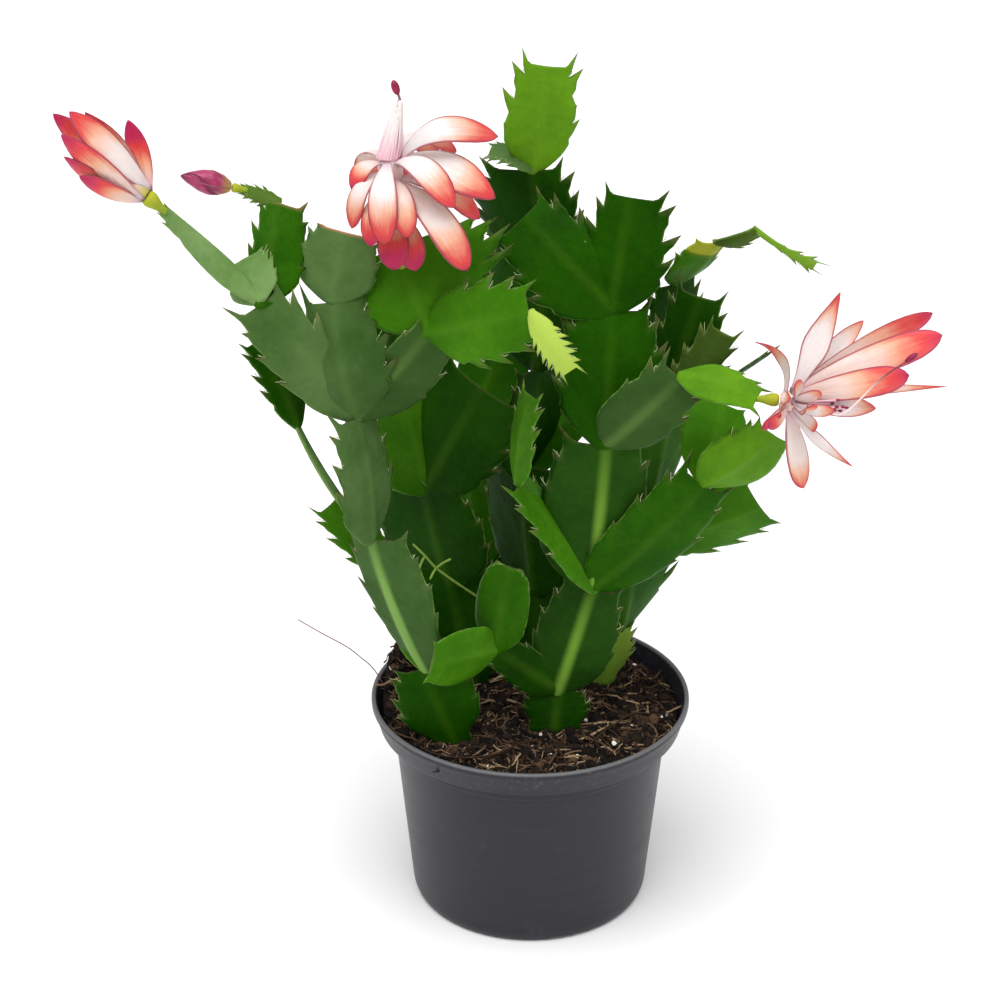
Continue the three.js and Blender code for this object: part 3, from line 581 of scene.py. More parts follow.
# Tooth sizes of the right and the left side from base to end, and the size of the two horns there,
# for the segments that differ from the common form. A share of 1 is a usual tooth, and a horn
# below 0 makes the end round.
SMOOTH = [0.0, 0.0, 0.0]
FAINT = [0.3, 0.4, 0.45]
EDGE_NOTES = {
    **dict.fromkeys(["f2", "f3", "f9", "g1", "g3", "i1", "i2", "i4"], (FAINT, FAINT, 0.8)),
    "a1": (FAINT, [0.6, 0.7, 0.8], 0.6), "a2": (FAINT, [0.5, 0.8, 0.9], 0.7), "a4": (SMOOTH, SMOOTH, 0.2),
    "a5": ([0.5, 0.7, 0.6], [1.2, 1.3, 1.2], 0.8), "a8": ([0.2, 1.0, 1.0], [0.5, 0.6, 0.6], 1.0),
    "a9": ([1.3, 1.5, 1.5], [0.2, 0.6, 0.6], 1.2), "a10": (FAINT, [0.5, 0.6, 0.5], 0.6),
    "a11": (SMOOTH, [0.0, 0.0, 1.1], 0.2), "a12": ([0.3, 0.5, 0.7], [0.0, 0.6, 1.0], 0.7),
    "a13": ([0.1, 0.4, 0.7], [0.0, 0.2, 0.5], 0.1), "a14": (FAINT, [0.7, 1.1, 1.1], 1.0),
    "a18": ([1.0, 1.2, 1.3, 1.4, 1.5], [0.9, 1.1, 1.3, 1.4, 1.5], 1.7),
    "b1": (FAINT, FAINT, 0.4), "b2": (FAINT, FAINT, 0.7), "b3": ([0.4, 0.6, 0.7], FAINT, 0.8),
    "b4": (FAINT, [0.3, 0.6, 1.0], 1.1), "b5": ([0.8, 1.1, 1.1], [0.6, 0.9, 0.9], 1.0),
    "b8": ([0.0, 0.7, 0.9], [0.0, 0.3, 1.1], 1.2), "b9": (SMOOTH, [0.0, 0.5, 1.1], 1.2),
    "b12": (SMOOTH, [0.2, 0.5, 0.7], 0.6), "b13": (SMOOTH, SMOOTH, 0.4), "c1": (FAINT, FAINT, 0.6),
    "c2": (SMOOTH, SMOOTH, 0.3), "c3": (SMOOTH, SMOOTH, -1.0), "e3": ([0.7, 0.9, 0.9], [0.6, 0.8, 0.9], 0.3),
    "e7": (SMOOTH, SMOOTH, 0.8), "f6": ([0.7, 0.1, 1.5], [0.1, 1.4, 1.5], 1.2),
    "g2": (FAINT, [0.4, 0.6, 0.7], 0.8), "g4": ([0.5, 0.6, 0.7], FAINT, 0.9),
    "h5": ([0.9, 1.0, 1.0], [0.0, 0.4, 0.0], 0.5), "h6": ([1.3, 1.6, 1.6], SMOOTH, 0.6),
    "h7": ([0.5, 1.5, 2.2], [0.3, 1.2, 2.0], 2.0),
}
# Right and left halves that are wider or narrower than half of the width
HALVES = {
    "a2": (1.0, 0.62), "a3": (1.0, 1.2), "a4": (0.42, 0.42), "a5": (1.1, 0.7), "a8": (0.82, 0.94),
    "a9": (1.4, 1.1), "a10": (1.12, 0.62), "a11": (0.74, 0.74), "a13": (1.0, 1.12), "a14": (1.5, 0.8),
    "a16": (2.1, 1.4), "a18": (0.8, 0.9), "b3": (0.94, 1.16), "b10": (1.22, 0.9), "b11": (1.0, 1.15),
    "e2": (1.9, 1.0), "e3": (1.2, 1.35), "f2": (1.25, 1.1), "f3": (1.3, 1.2), "f4": (1.05, 1.65),
    "f5": (1.0, 1.75), "f6": (1.06, 1.1), "f9": (1.15, 1.15), "g1": (1.0, 1.15), "g2": (1.1, 1.25),
    "g3": (1.1, 1.1), "g4": (1.2, 1.25), "g5": (1.35, 1.15), "h5": (0.75, 1.8), "h7": (0.6, 0.6),
    "i2": (1.2, 1.2),
}
# How much narrower the end is than the common form (below 0 it is wider), and from where on
NARROWED = {
    "a2": -0.6, "a4": 0.2, "a8": -0.3, "a11": 0.55, "a15": 0.3, "a16": -0.7, "e2": -0.5, "e3": -0.5, "e7": -1.0,
    "f2": -0.7, "f4": -0.6, "g1": -0.45, "g4": -0.5, "h7": -1.6,
}
NARROWS_FROM = 0.35
# How far short of its row's tip a blade ends, as a share of its length (below 0 it ends further out)
SHORTENED = {
    "a12": 0.25, "a16": -0.3, "e3": -0.08, "e7": 0.12, "f2": -0.1, "f6": -0.05, "g1": -0.2, "g4": -0.08,
}
# Blades that bow further to the front than their rows say, in millimetres
MORE_BOW = {"a4": -4.0, "a9": 5.0}
# Ends that are pink (below 0) or yellowed (above 0), and where the tint starts
END_TINTS = {"a13": (-1.0, 0.86), "a14": (-0.5, 0.86), "h5": (0.9, 0.68)}
TINT_SPAN = 0.08
print("segments with an edge of their own:", len(EDGE_NOTES))


# %% [markdown]
# The edge is a list of points from base to tip. Each lobe rises gently, swells towards its tooth,
# and falls back behind it into the notch where the bristles stand.

# %% The toothed edge
def toothed_edge(chance, half, length, sizes, horn, least):
    """One side's edge: share of length, share of half width, forward lean, and cork at the teeth."""
    def body(t):
        return max(float(np.interp(t, BODY_T, BODY_SHARE)), least)

    line = [(t, max(share, least), 0.015, 0.0) for t, share in EDGE_BASE]
    gap = (LAST_TOOTH - FIRST_TOOTH) / len(sizes)
    usual = STEP_SIZE * math.sqrt(half / STEP_HALF)
    for k, size in enumerate(sizes):
        start = FIRST_TOOTH + gap * k
        tip = start + gap * (0.72 + chance.uniform(-0.12, 0.12))
        size = size * chance.uniform(0.8, 1.2)
        out = usual / half * min(size, LARGEST_STEP)
        forward = min(TOOTH_LEAN * usual * size / length, gap * 0.48)
        line += [
            (start + gap * 0.15, body(start + gap * 0.15) - 0.30 * out, 0.02, 0.0),
            (start + gap * 0.42, body(start + gap * 0.42) + 0.06 * out, 0.025, 0.0),
            (tip - gap * 0.07, body(tip) + 0.30 * out, 0.03, 0.0),
            (tip + forward, body(tip) + 0.72 * out, 0.04 + forward, TOOTH_CORK * min(size * 2, 1)),
            (tip + gap * 0.05, body(tip) - 0.52 * out, 0.02, HOLLOW_CORK * min(size * 2, 1)),
        ]
    if horn < 0:
        line += [(0.93, 0.64, 0.02, 0.0), (0.965, 0.52, 0.02, 0.0), (0.985, 0.40, 0.015, 0.0),
                 (0.995, 0.29, 0.01, 0.0), (1.0, 0.2, 0.005, 0.2)]
        return np.array(line)
    horn = horn * chance.uniform(0.85, 1.15)
    line += [
        (0.965, body(0.965) - 0.01, 0.02, 0.0),
        (1.01, 0.67, 0.04, 0.0),
        (1.0 + 0.11 * horn, 0.70 + 0.04 * horn, 0.02 + 0.11 * horn, TOOTH_CORK * min(horn * 2, 1)),
        (1.012, 0.56, 0.028, HOLLOW_CORK),
        (0.996, 0.46, 0.012, END_CORK),
    ]
    return np.array(line)


# %% [markdown]
# The facing rule is the same as in the CAD source: a segment faces the front, turned about its own
# length. Its thickness is greatest along the rib, which stands out as a soft ridge on both faces.

# %% Tools for blades
def unit(vector):
    return vector / np.linalg.norm(vector)


def turned_about(vector, axis, degrees):
    a = math.radians(degrees)
    cross = np.cross(axis, vector)
    return vector * math.cos(a) + cross * math.sin(a) + axis * np.dot(axis, vector) * (1 - math.cos(a))


def facing_of(start, tip, turn):
    """The direction that a blade faces: the front, turned about its own length."""
    along = unit(tip - start)
    front = np.array([0.0, -1.0, 0.0])
    front = unit(front - along * np.dot(front, along))
    return turned_about(front, along, turn)


def two_faced(start, along, side, normal, length, bow, t, shift, lift, thick):
    """Points of a closed thin body from grids of t, side shift, lift and half thickness."""
    tilt = 4 * bow * (1 - 2 * t)
    out = normal * length - along * tilt[..., None]
    out /= np.linalg.norm(out, axis=-1, keepdims=True)
    spot = start + along * (t * length)[..., None] + normal * (4 * bow * t * (1 - t))[..., None]
    spot = spot + side * shift[..., None] + out * lift[..., None]
    return spot + out * thick[..., None], spot - out * thick[..., None]


def closed_grid(rows, columns):
    """Faces of two grids that share their border points: the upper one, then the lower one's inside."""
    upper = np.arange(rows * columns).reshape(rows, columns)
    lower = upper.copy()
    inside = (rows - 2) * (columns - 2)
    lower[1:-1, 1:-1] = rows * columns + np.arange(inside).reshape(rows - 2, columns - 2)
    faces = []
    for i in range(rows - 1):
        for j in range(columns - 1):
            faces.append((upper[i, j], upper[i, j + 1], upper[i + 1, j + 1], upper[i + 1, j]))
            faces.append((lower[i, j], lower[i + 1, j], lower[i + 1, j + 1], lower[i, j + 1]))
    return faces


def closed_points(upper, lower):
    """The points or facts of two such grids, in the order that their faces count on."""
    size = upper.shape[-1]
    return np.concatenate([upper.reshape(-1, size), lower[1:-1, 1:-1].reshape(-1, size)])


def facts_of(*channels):
    """One array of facts from arrays and single numbers, a channel of each."""
    return np.stack(np.broadcast_arrays(*channels), axis=-1)


def rising(values, least):
    """Keeps a list of numbers rising by at least that step."""
    out = np.array(values, float)
    for i in range(1, len(out)):
        out[i] = max(out[i], out[i - 1] + least)
    return out


# %% A segment from its row
# Half thicknesses at the edge and of the rib above it, and the width from which the rib is full
BLADE_EDGE, RIB_SWELL, FULL_RIB_WIDTH = 0.4, 1.35, 24
RIDGE_HALF, ROUND_FLESH, RIB_SHARE = 1.9, 1.7, 0.58
SEGMENT_BASE_HALF, BELOW_SOIL = 1.8, 7.0
# The rows keep this step at least, and the rib ends a little before the edge does
LEAST_STEP, RIB_BEHIND, RIB_END = 0.006, 0.012, 0.985
# Waves of the edge and droop of both halves, as shares of the width, and the least tooth with bristles
SWAY, WAVES, DROOP = 0.03, 5.5, 0.05
BRISTLED = 0.35


def segment(gathered, chance, start, row, base_half):
    """Adds a row's segment. Gives its tip, and where its bristles grow."""
    name, parent, x, y, z, width, turn, bow, word = row
    tip = np.array([x, y, z], float)
    length = float(np.linalg.norm(tip - start))
    half = width / 2
    along = unit(tip - start)
    normal = facing_of(start, tip, turn)
    side = np.cross(along, normal)
    usual = (*[[chance.uniform(0.75, 1.25) for _ in range(3)] for _ in range(2)], 1.0)
    right, left, horn = EDGE_NOTES.get(name, usual)
    least = base_half / half
    edges = [toothed_edge(chance, half, length, sizes, horn, least) for sizes in (right, left)]
    if not parent:
        for edge in edges:
            edge[0, 0] = -BELOW_SOIL / length
    rows = len(edges[0])
    inner_t = [rising(edge[:, 0] - edge[:, 2], LEAST_STEP) for edge in edges]
    rib_t = rising((inner_t[0] + inner_t[1]) / 2 - RIB_BEHIND, LEAST_STEP)
    rib_t = rib_t + (RIB_END - rib_t[-1]) * np.linspace(0, 1, rows) ** 4

    signed = np.concatenate([-COLUMNS[:0:-1], COLUMNS])
    t = np.zeros((rows, len(signed)))
    share, cork = t.copy(), t.copy()
    for column, s in enumerate(signed):
        edge, inner = (edges[1], inner_t[1]) if s < 0 else (edges[0], inner_t[0])
        body = np.maximum(np.interp(inner, BODY_T, BODY_SHARE), least)
        depth = min(abs(s) / INNER, 1.0)
        near = rib_t + (inner - rib_t) * depth ** 2
        outer = max(abs(s) - INNER, 0) / (1 - INNER)
        t[:, column] = near + (edge[:, 0] - near) * outer
        share[:, column] = body * INNER * depth * (1 - outer) + edge[:, 1] * outer
        cork[:, column] = edge[:, 3] * outer ** 2
    cork[-1, :] = np.maximum(cork[-1, :], END_CORK)
    cork[-2, :] = np.maximum(cork[-2, :], 0.15)
    signs = np.where(signed < 0, -1.0, 1.0)
    wide = HALVES.get(name, (1.0, 1.0))
    share = share * np.where(signed < 0, wide[1], wide[0])[None, :]
    share = share * (1 - NARROWED.get(name, 0.0) * np.clip(t - NARROWS_FROM, 0, 1))
    t = t * (1 - SHORTENED.get(name, 0.0))
    bow += MORE_BOW.get(name, 0)
    tint, tint_start = END_TINTS.get(name, (0, 0.9))
    tinted = tint * np.clip((np.linspace(0, 1, rows) - tint_start) / TINT_SPAN, 0, 1)
    ripe = facts_of(tinted[:, None] * np.ones_like(t))
    swell = RIB_SWELL * min(1, width / FULL_RIB_WIDTH)
    rib_half = BLADE_EDGE + swell * (1.15 - 0.75 * np.clip(rib_t, 0, 1))
    rib_mm = share * half
    ridge = np.exp(-((rib_mm / RIDGE_HALF) ** 2))
    flesh = 1 - np.abs(signed)[None, :] ** ROUND_FLESH
    thick = BLADE_EDGE + (rib_half[:, None] - BLADE_EDGE) * ((1 - RIB_SHARE) * flesh + RIB_SHARE * ridge)
    thick = thick * np.where(np.abs(signed) > 0.9, 0.8, 1.0)[None, :]
    thick[:, 0] = thick[:, -1] = thick[0] = thick[-1] = 0
    sway = SWAY * width * np.sin(WAVES * t + chance.uniform(0, 6.3)) * share ** 2 * signs[None, :]
    fold = chance.uniform(-0.02, 0.10) * half * share * np.sin(math.pi * np.clip(0.15 + 0.85 * t, 0, 1))
    twist = chance.uniform(-0.09, 0.09) * half * share * signs[None, :] * np.clip(t, 0, 1)
    lift = sway + fold + twist - DROOP * width * share ** 2
    upper, lower = two_faced(start, along, side, normal, length, bow, t, rib_mm * signs, lift, thick)
    middle = upper.shape[1] // 2
    notches = [(upper[row, column], upper[row, middle], along, normal)
               for sizes, column in ((right, -1), (left, 0))
               for row, size in zip(range(len(EDGE_BASE) + 4, rows, 5), sizes) if size > BRISTLED]

    # The word's tone holds painted shade and light, and its second number is the painted sheen
    tone, painted_sheen, youth, rib_light = FINISH_WORDS[word]
    tone = tone + chance.uniform(-0.04, 0.04)
    rim_mm = np.where(signed[None, :] < 0, share[:, :1], share[:, -1:]) * half - rib_mm
    place = facts_of(t, rib_mm, np.clip(rim_mm, 0, None))
    look = facts_of(tone, painted_sheen, youth, cork)
    gathered.take(closed_points(upper, lower), closed_grid(*t.shape), place=closed_points(place, place),
                  look=closed_points(look, look), rib_light=rib_light, ripe=closed_points(ripe, ripe))
    return tip, notches


# %% [markdown]
# ## Turned parts of the plant
#
# The ovary below each flower, the stalk of the bud and the foot of each stem are round. They are
# turned from a profile of radius and height, closed at both poles.

# %% Turned parts
def turned(profile, sides, base, direction, squash=1.0):
    """Points and faces of a turned body; the profile starts and ends on its axis."""
    direction = unit(np.asarray(direction, float))
    helper = np.array([0.0, 1.0, 0.0]) if abs(direction[1]) < 0.9 else np.array([1.0, 0.0, 0.0])
    across = unit(np.cross(helper, direction))
    deep = np.cross(direction, across)
    angles = np.linspace(0, 2 * math.pi, sides, endpoint=False)
    ring = np.cos(angles)[:, None] * across + squash * np.sin(angles)[:, None] * deep
    points = [np.asarray(base) + direction * profile[0][1]]
    for radius, height in profile[1:-1]:
        points.extend(np.asarray(base) + direction * height + ring * radius)
    points.append(np.asarray(base) + direction * profile[-1][1])
    last = len(points) - 1
    faces = []
    for i in range(sides):
        j = (i + 1) % sides
        faces.append((0, 1 + j, 1 + i))
        for k in range(len(profile) - 3):
            a, b = 1 + k * sides, 1 + (k + 1) * sides
            faces.append((a + i, a + j, b + j, b + i))
        top = 1 + (len(profile) - 3) * sides
        faces.append((top + i, top + j, last))
    return np.array(points), faces


def smooth_profile(points, steps):
    """A finer profile through the given radius and height pairs, without overshoot."""
    points = np.array(points, float)
    span = np.concatenate([[0], np.cumsum(np.linalg.norm(np.diff(points, axis=0), axis=1))])
    at = np.linspace(0, span[-1], steps)
    coarse = np.stack([np.interp(at, span, points[:, k]) for k in (0, 1)], axis=1)
    soft = coarse.copy()
    soft[1:-1] = (coarse[:-2] + 2 * coarse[1:-1] + coarse[2:]) / 4
    return [tuple(p) for p in soft]


# %% [markdown]
# ## The blooms, bud and their seats
#
# Each bloom stands on the tip of a segment. A petal row is the x, y, z of its tip, its width, how
# far it arches, where along the tube it starts (1 is the throat), and how red and how peach it is.

# %% Table of the blooms
BLOOMS = {
    "top": {
        "on": "a16", "throat": [-48, -34, 305], "petals": [
            (-12, -37, 311, 10, 8, 1, 0.15, 0.0), (-26, -20, 302, 9, 7, 1, 0.1, 0.5),
            (-13, -50, 296, 14, 8, 1, 0.16, 0.1), (-26, -56, 295, 10, 7, 1, 0.16, 0.0),
            (-18, -44, 287, 9, 8, 0.8, 0.25, 0.4), (-22, -58, 274, 11.5, 8, 0.75, 0.18, 0.35),
            (-41, -57, 285, 9, 7, 0.8, 0.1, 0.6), (-49, -58, 283, 10, 8, 1, 0.22, 0.05),
            (-60, -44, 297, 7, 5, 1, 0.45, 0.5), (-60, -48, 285, 8, 8, 0.9, 0.15, 0.2),
            (-54, -54, 281, 9, 6, 0.7, 0.4, 0.2), (-33, -12, 298, 11, 8, 1, 0.0, 0.2),
            (-57, -16, 289, 10, 7, 1, 0.1, 0.2), (-44, -10, 290, 12, 8, 0.9, 0.1, 0.3),
            (-46, -52, 272, 8, 5, 0.45, 0.75, 0.2), (-39, -50, 271, 7, 5, 0.4, 0.65, 0.2),
        ],
        "pistil": [[-46, -34, 318.5], [-44, -34, 323.5], [-45.4, -34, 328.5]],
        "aim": [4, 0, 20], "stamen_reach": 18, "stamens": 150, "gather": 0.3,
    },
    "right": {
        "on": "b9", "throat": [88.8, -50, 224.3], "petals": [
            (101.6, -46, 261.9, 8, 1, 1, 0.0, 0.15), (73.9, -46, 244.1, 5.5, 2, 0.5, 0.35, 0.3),
            (133.2, -44, 253.9, 9, 3, 1, 0.42, 0.5), (111.5, -36, 248, 7, 1, 1, -0.2, 0.0),
            (135.2, -54, 250, 11, 3, 1, 0.36, 0.5), (127.2, -67, 236.3, 10, 2, 1, 0.45, 0.7),
            (137.1, -60, 232.3, 4, 0, 1, 0.1, 0.2), (113.4, -60, 219.5, 6, 0, 1, -0.15, 0.1),
            (89.7, -54, 193.7, 7.5, 1, 0.7, 0.02, 0.4), (107.5, -60, 204.6, 4.5, 3, 0.8, 0.0, 0.1),
            (76.9, -56, 216.5, 5.5, 1, 0.3, 0.65, 0.2), (106.6, -28, 226.2, 9, 2, 1, 0.0, 0.2),
        ],
        "pistil": [[95.7, -55, 224.4], [102.6, -63, 225.4], [113.4, -67, 239.2], [123.3, -67, 247.1]],
        "aim": [11, -5, 3], "stamen_reach": 18, "stamens": 30, "gather": 1.4,
    },
    "left": {
        "on": "a11", "throat": [-130.9, -62, 306.7], "petals": [
            (-142.7, -60, 328.3, 9, 2, 0.6, 0.15, 0.7), (-146.6, -66, 330.3, 10, 2, 0.5, 0.1, 0.3),
            (-152.5, -62, 328.3, 9, 2, 0.5, 0.3, 0.7), (-149.5, -68, 323.4, 9, 2, 0.5, 0.35, 0.7),
            (-149.5, -66, 315.6, 9, 2, 0.5, 0.45, 0.8), (-144.6, -68, 309.7, 8, 2, 0.4, 0.6, 0.8),
            (-129.9, -56, 324.4, 9, 2, 0.15, 0.8, 0.8), (-145.7, -54, 316.5, 9, 2, 0.5, 0.3, 0.8),
        ],
        "pistil": [], "aim": [0, 0, 1], "stamen_reach": 0, "stamens": 0, "gather": 0,
    },
}
BUD_ON, BUD_TIP, BUD_RADIUS, BUD_STALK = "a15", np.array([-117.8, -28, 296.5]), 4.3, 3.6
OVARY_LENGTH, OVARY_RADIUS, CLEARANCE = 7, 2.9, 0.35
TUBE_FOOT, THROAT_RADIUS, PETAL_ROOT, PETAL_LEAN = 2.6, 4.6, 3.75, 0.9
print("petals:", sum(len(bloom["petals"]) for bloom in BLOOMS.values()))


# %% Grow the leafy stems
# Size of each ovary and how wide its foot is, as shares, and of the bud's stalk
OVARY_FORMS, BUD_FORM = {"top": (1.0, 0.6), "right": (0.85, 0.42), "left": (1.0, 0.42)}, (0.6, 0.6)
FOOT_DEPTH, FOOT_THICKNESS = 18, 2.5


def ovary(gathered, seat, direction, radius, length, foot):
    """Adds a flower's ovary, or the bud's stalk, on the tip of a segment. It yellows upward."""
    line = [(0, -2), (radius * foot, -2), (radius * foot * 1.15, length * 0.12),
            (radius * (0.5 + foot / 2), length * 0.4), (radius * 0.97, length * 0.66),
            (radius * 0.9, length * 0.86), (radius * 0.82, length), (0, length)]
    points, faces = turned(smooth_profile(line, 16), 20, seat, direction)
    heights = (points - seat) @ unit(direction) / length
    gathered.take(points, faces, look=(0.8, 0.0, 0.3, 0.0), place=(0.5, 9.0, 9.0), rib_light=0,
                  ripe=np.clip(0.45 + 0.6 * heights, 0, 1)[:, None])


def stem_foot(gathered, x, y, half):
    """Adds the flat woody foot of a stem, which stands in its hole in the soil."""
    line = [(0, -FOOT_DEPTH), (half, -FOOT_DEPTH), (half, -5), (half * 0.9, -3.5), (0, -3)]
    points, faces = turned(line, 28, [x, y, STEM_START], [0, 0, 1], FOOT_THICKNESS / half)
    gathered.take(points, faces, look=(0.22, 0.1, 0.0, 0.35), place=(0.2, 9.0, 9.0), rib_light=0, ripe=0)


seats = {}
stem_parts, stem_notches = {}, {}
for order, (node, (base, rows)) in enumerate(STEMS.items()):
    chance = np.random.default_rng(40 + order)
    gathered = stem_parts[node] = Gathered(look=4, place=3, rib_light=1, ripe=1)
    stem_notches[node] = []
    stem_foot(gathered, *base)
    tips = {"": np.array([base[0], base[1], STEM_START], float)}
    for row in rows:
        base_half = SEGMENT_BASE_HALF if row[1] else base[2] - 0.8
        tips[row[0]], notches = segment(gathered, chance, tips[row[1]], row, base_half)
        stem_notches[node] += notches
    seats.update({name: (tip, node) for name, tip in tips.items()})

for name, bloom in BLOOMS.items():
    seat, node = seats[bloom["on"]]
    size, slimness = OVARY_FORMS[name]
    ovary(stem_parts[node], seat, np.array(bloom["throat"]) - seat, OVARY_RADIUS * size, OVARY_LENGTH, slimness)
seat, node = seats[BUD_ON]
ovary(stem_parts[node], seat, BUD_TIP - seat, OVARY_RADIUS * BUD_FORM[0], BUD_STALK, BUD_FORM[1])

for node, gathered in stem_parts.items():
    gathered.piece("leafy_" + node, leaf_green, "leaf_green", node)


# %% [markdown]
# ## Petals
#
# A petal is a blade as well: pointed at its tip, narrow at its root, arched along its length and
# cupped across, with a shallow crease down the middle and an edge that is never quite flat. Each
# bloom's petals and its tube are one body. Petals are named by their bloom and their place in its
# rows, from 0.

# %% Forms and tints of the petals
# Half width along a petal: the usual form, a blunt one and a kite
PETAL_FORMS = {
    "usual": [(0, 0.3), (0.1, 0.45), (0.22, 0.68), (0.36, 0.88), (0.5, 0.98), (0.6, 1.0), (0.72, 0.93),
              (0.82, 0.76), (0.9, 0.52), (0.95, 0.33), (0.98, 0.18), (1.0, 0.03)],
    "blunt": [(0, 0.3), (0.1, 0.45), (0.22, 0.66), (0.36, 0.84), (0.5, 0.95), (0.62, 1.0), (0.74, 0.99),
              (0.84, 0.89), (0.91, 0.71), (0.96, 0.47), (0.985, 0.25), (1.0, 0.04)],
    "kite": [(0, 0.3), (0.12, 0.42), (0.25, 0.66), (0.38, 0.92), (0.47, 1.0), (0.6, 0.86), (0.75, 0.58),
             (0.88, 0.3), (0.95, 0.16), (1.0, 0.03)],
}
# The form of each petal, and petals that arch more than their rows say or are broader or narrower
PETAL_KINDS = {"top": ["blunt", "blunt", "usual"] + ["blunt"] * 13, "left": ["usual"] * 8,
               "right": ["kite", "kite", "blunt", "usual", "blunt", "blunt", "kite", "usual", "blunt", "kite",
                         "blunt", "blunt"]}
MORE_ARCH = {("top", 0): 7.0, ("top", 3): 2.0, ("right", 1): 4.0}
BROADER = {("right", 0): 1.3, ("right", 1): 1.6, ("right", 7): 1.3, ("right", 8): 1.25, ("top", 0): 0.95,
           ("top", 9): 0.85, ("top", 14): 1.35, ("top", 15): 1.4, ("left", 6): 0.85}
# How much redder a whole bloom is than its rows say, and some petals of it
REDDER = {"top": -0.02, "right": -0.06, "left": 0.2}
MORE_RED = {("right", 1): 0.2, ("top", 14): 0.1, ("top", 15): 0.1}
# Petals whose tip lies a little off their row, in millimetres
TIP_SHIFTS = {("top", 0): (0, 0, 2), ("right", 5): (-4.2, 0, 4.7), ("right", 6): (0, 0, 1.7),
              ("right", 7): (0.6, 0, 6.5), ("right", 8): (2.5, 0, 0)}
# How much lower than their rows say the petals of a bloom start on its tube
LOWERED = {"top": 0.0, "right": 0.0, "left": 0.3}
# The end of each tube against the common one
TUBE_ENDS = {"top": 1.0, "right": 0.8, "left": 0.5}
# How red, peach and green the foot of each bloom's tube is
TUBE_TINTS = {"top": (0.1, 0.2, 0.15), "right": (0.5, 0.6, 0.35), "left": (0.7, 0.9, 1.0)}
# Small curled petals round the throat of the right bloom
CURLS = [
    (78, -62, 220, 6, 2, 0.6, 0.55, 0.6), (85, -62, 230, 4.5, -2, 0.9, 0.15, 0.5),
    (90, -64, 227, 4.5, 2, 1, 0.1, 0.2), (94, -62, 219, 4, -2, 1, 0.1, 0.1),
    (95, -62, 233, 5, 2, 1, -0.05, 0.0), (87, -60, 236, 5, 2, 1, 0.0, 0.1),
    (93, -66, 230, 4.5, 3, 1, 0.05, 0.2), (82, -64, 225, 4, -1, 0.5, 0.45, 0.8),
    (100, -62, 226, 4.5, 3, 1, 0.0, 0.0),
]
PETAL_ROWS = np.concatenate([np.linspace(-0.03, 0.8, 17), np.linspace(0.84, 1.0, 7)])
PETAL_COLUMNS = np.array([0, 0.12, 0.28, 0.46, 0.64, 0.8, 0.9, 0.96, 1.0])
# Half thickness at the root and how much of it is lost at the tip, then ruffle, crease and cup as
# shares of the width
PETAL_THICKNESS, THINS_BY = 0.34, 0.14
RUFFLE, CREASE, CUP = 0.022, 0.03, 0.12
print("curls:", len(CURLS))


# %% One petal
def petal(gathered, chance, start, tip, facing, width, bow, red, peach_share, form):
    along = tip - start
    length = float(np.linalg.norm(along))
    along = along / length
    normal = unit(facing - along * np.dot(facing, along))
    side = np.cross(along, normal)
    signed = np.concatenate([-PETAL_COLUMNS[:0:-1], PETAL_COLUMNS])
    t = np.repeat(PETAL_ROWS[:, None], len(signed), axis=1)
    half = np.interp(PETAL_ROWS, *np.array(PETAL_FORMS[form]).T) * width / 2
    lopsided = 1 + chance.uniform(-0.06, 0.06) * np.sign(signed)
    shift = half[:, None] * (signed * lopsided)[None, :]
    share = np.abs(signed)[None, :] * np.ones_like(t)
    thick = (PETAL_THICKNESS - THINS_BY * t) * (1 - 0.55 * share)
    thick[:, 0] = thick[:, -1] = thick[0] = thick[-1] = 0
    ruffle = RUFFLE * width * np.sin(7 * t + chance.uniform(0, 6.3) + 2 * signed[None, :]) * share ** 2
    crease = -CREASE * width * np.exp(-((share / 0.2) ** 2)) * np.clip(1.1 - t, 0, 1)
    lift = ruffle + crease - CUP * width * (half[:, None] / (width / 2)) * share ** 2
    upper, lower = two_faced(start, along, side, normal, length, bow, t, shift, lift, thick)
    inset = (1 - share) * (0.35 + 0.65 * half[:, None] / (width / 2))
    place = facts_of(np.clip(t, 0, 1), inset, signed[None, :])
    blush = facts_of(red, peach_share, 0.0, np.ones_like(t))
    gathered.take(closed_points(upper, lower), closed_grid(*t.shape), petal=closed_points(place, place),
                  blush=closed_points(blush, blush))


def bloom_frame(bloom):
    """The throat of a bloom, the direction of its tube, and the tube's root above the ovary."""
    seat = seats[bloom["on"]][0]
    throat = np.array(bloom["throat"], float)
    axis = unit(throat - seat)
    root = seat + axis * (OVARY_LENGTH + CLEARANCE)
    return throat, axis, root


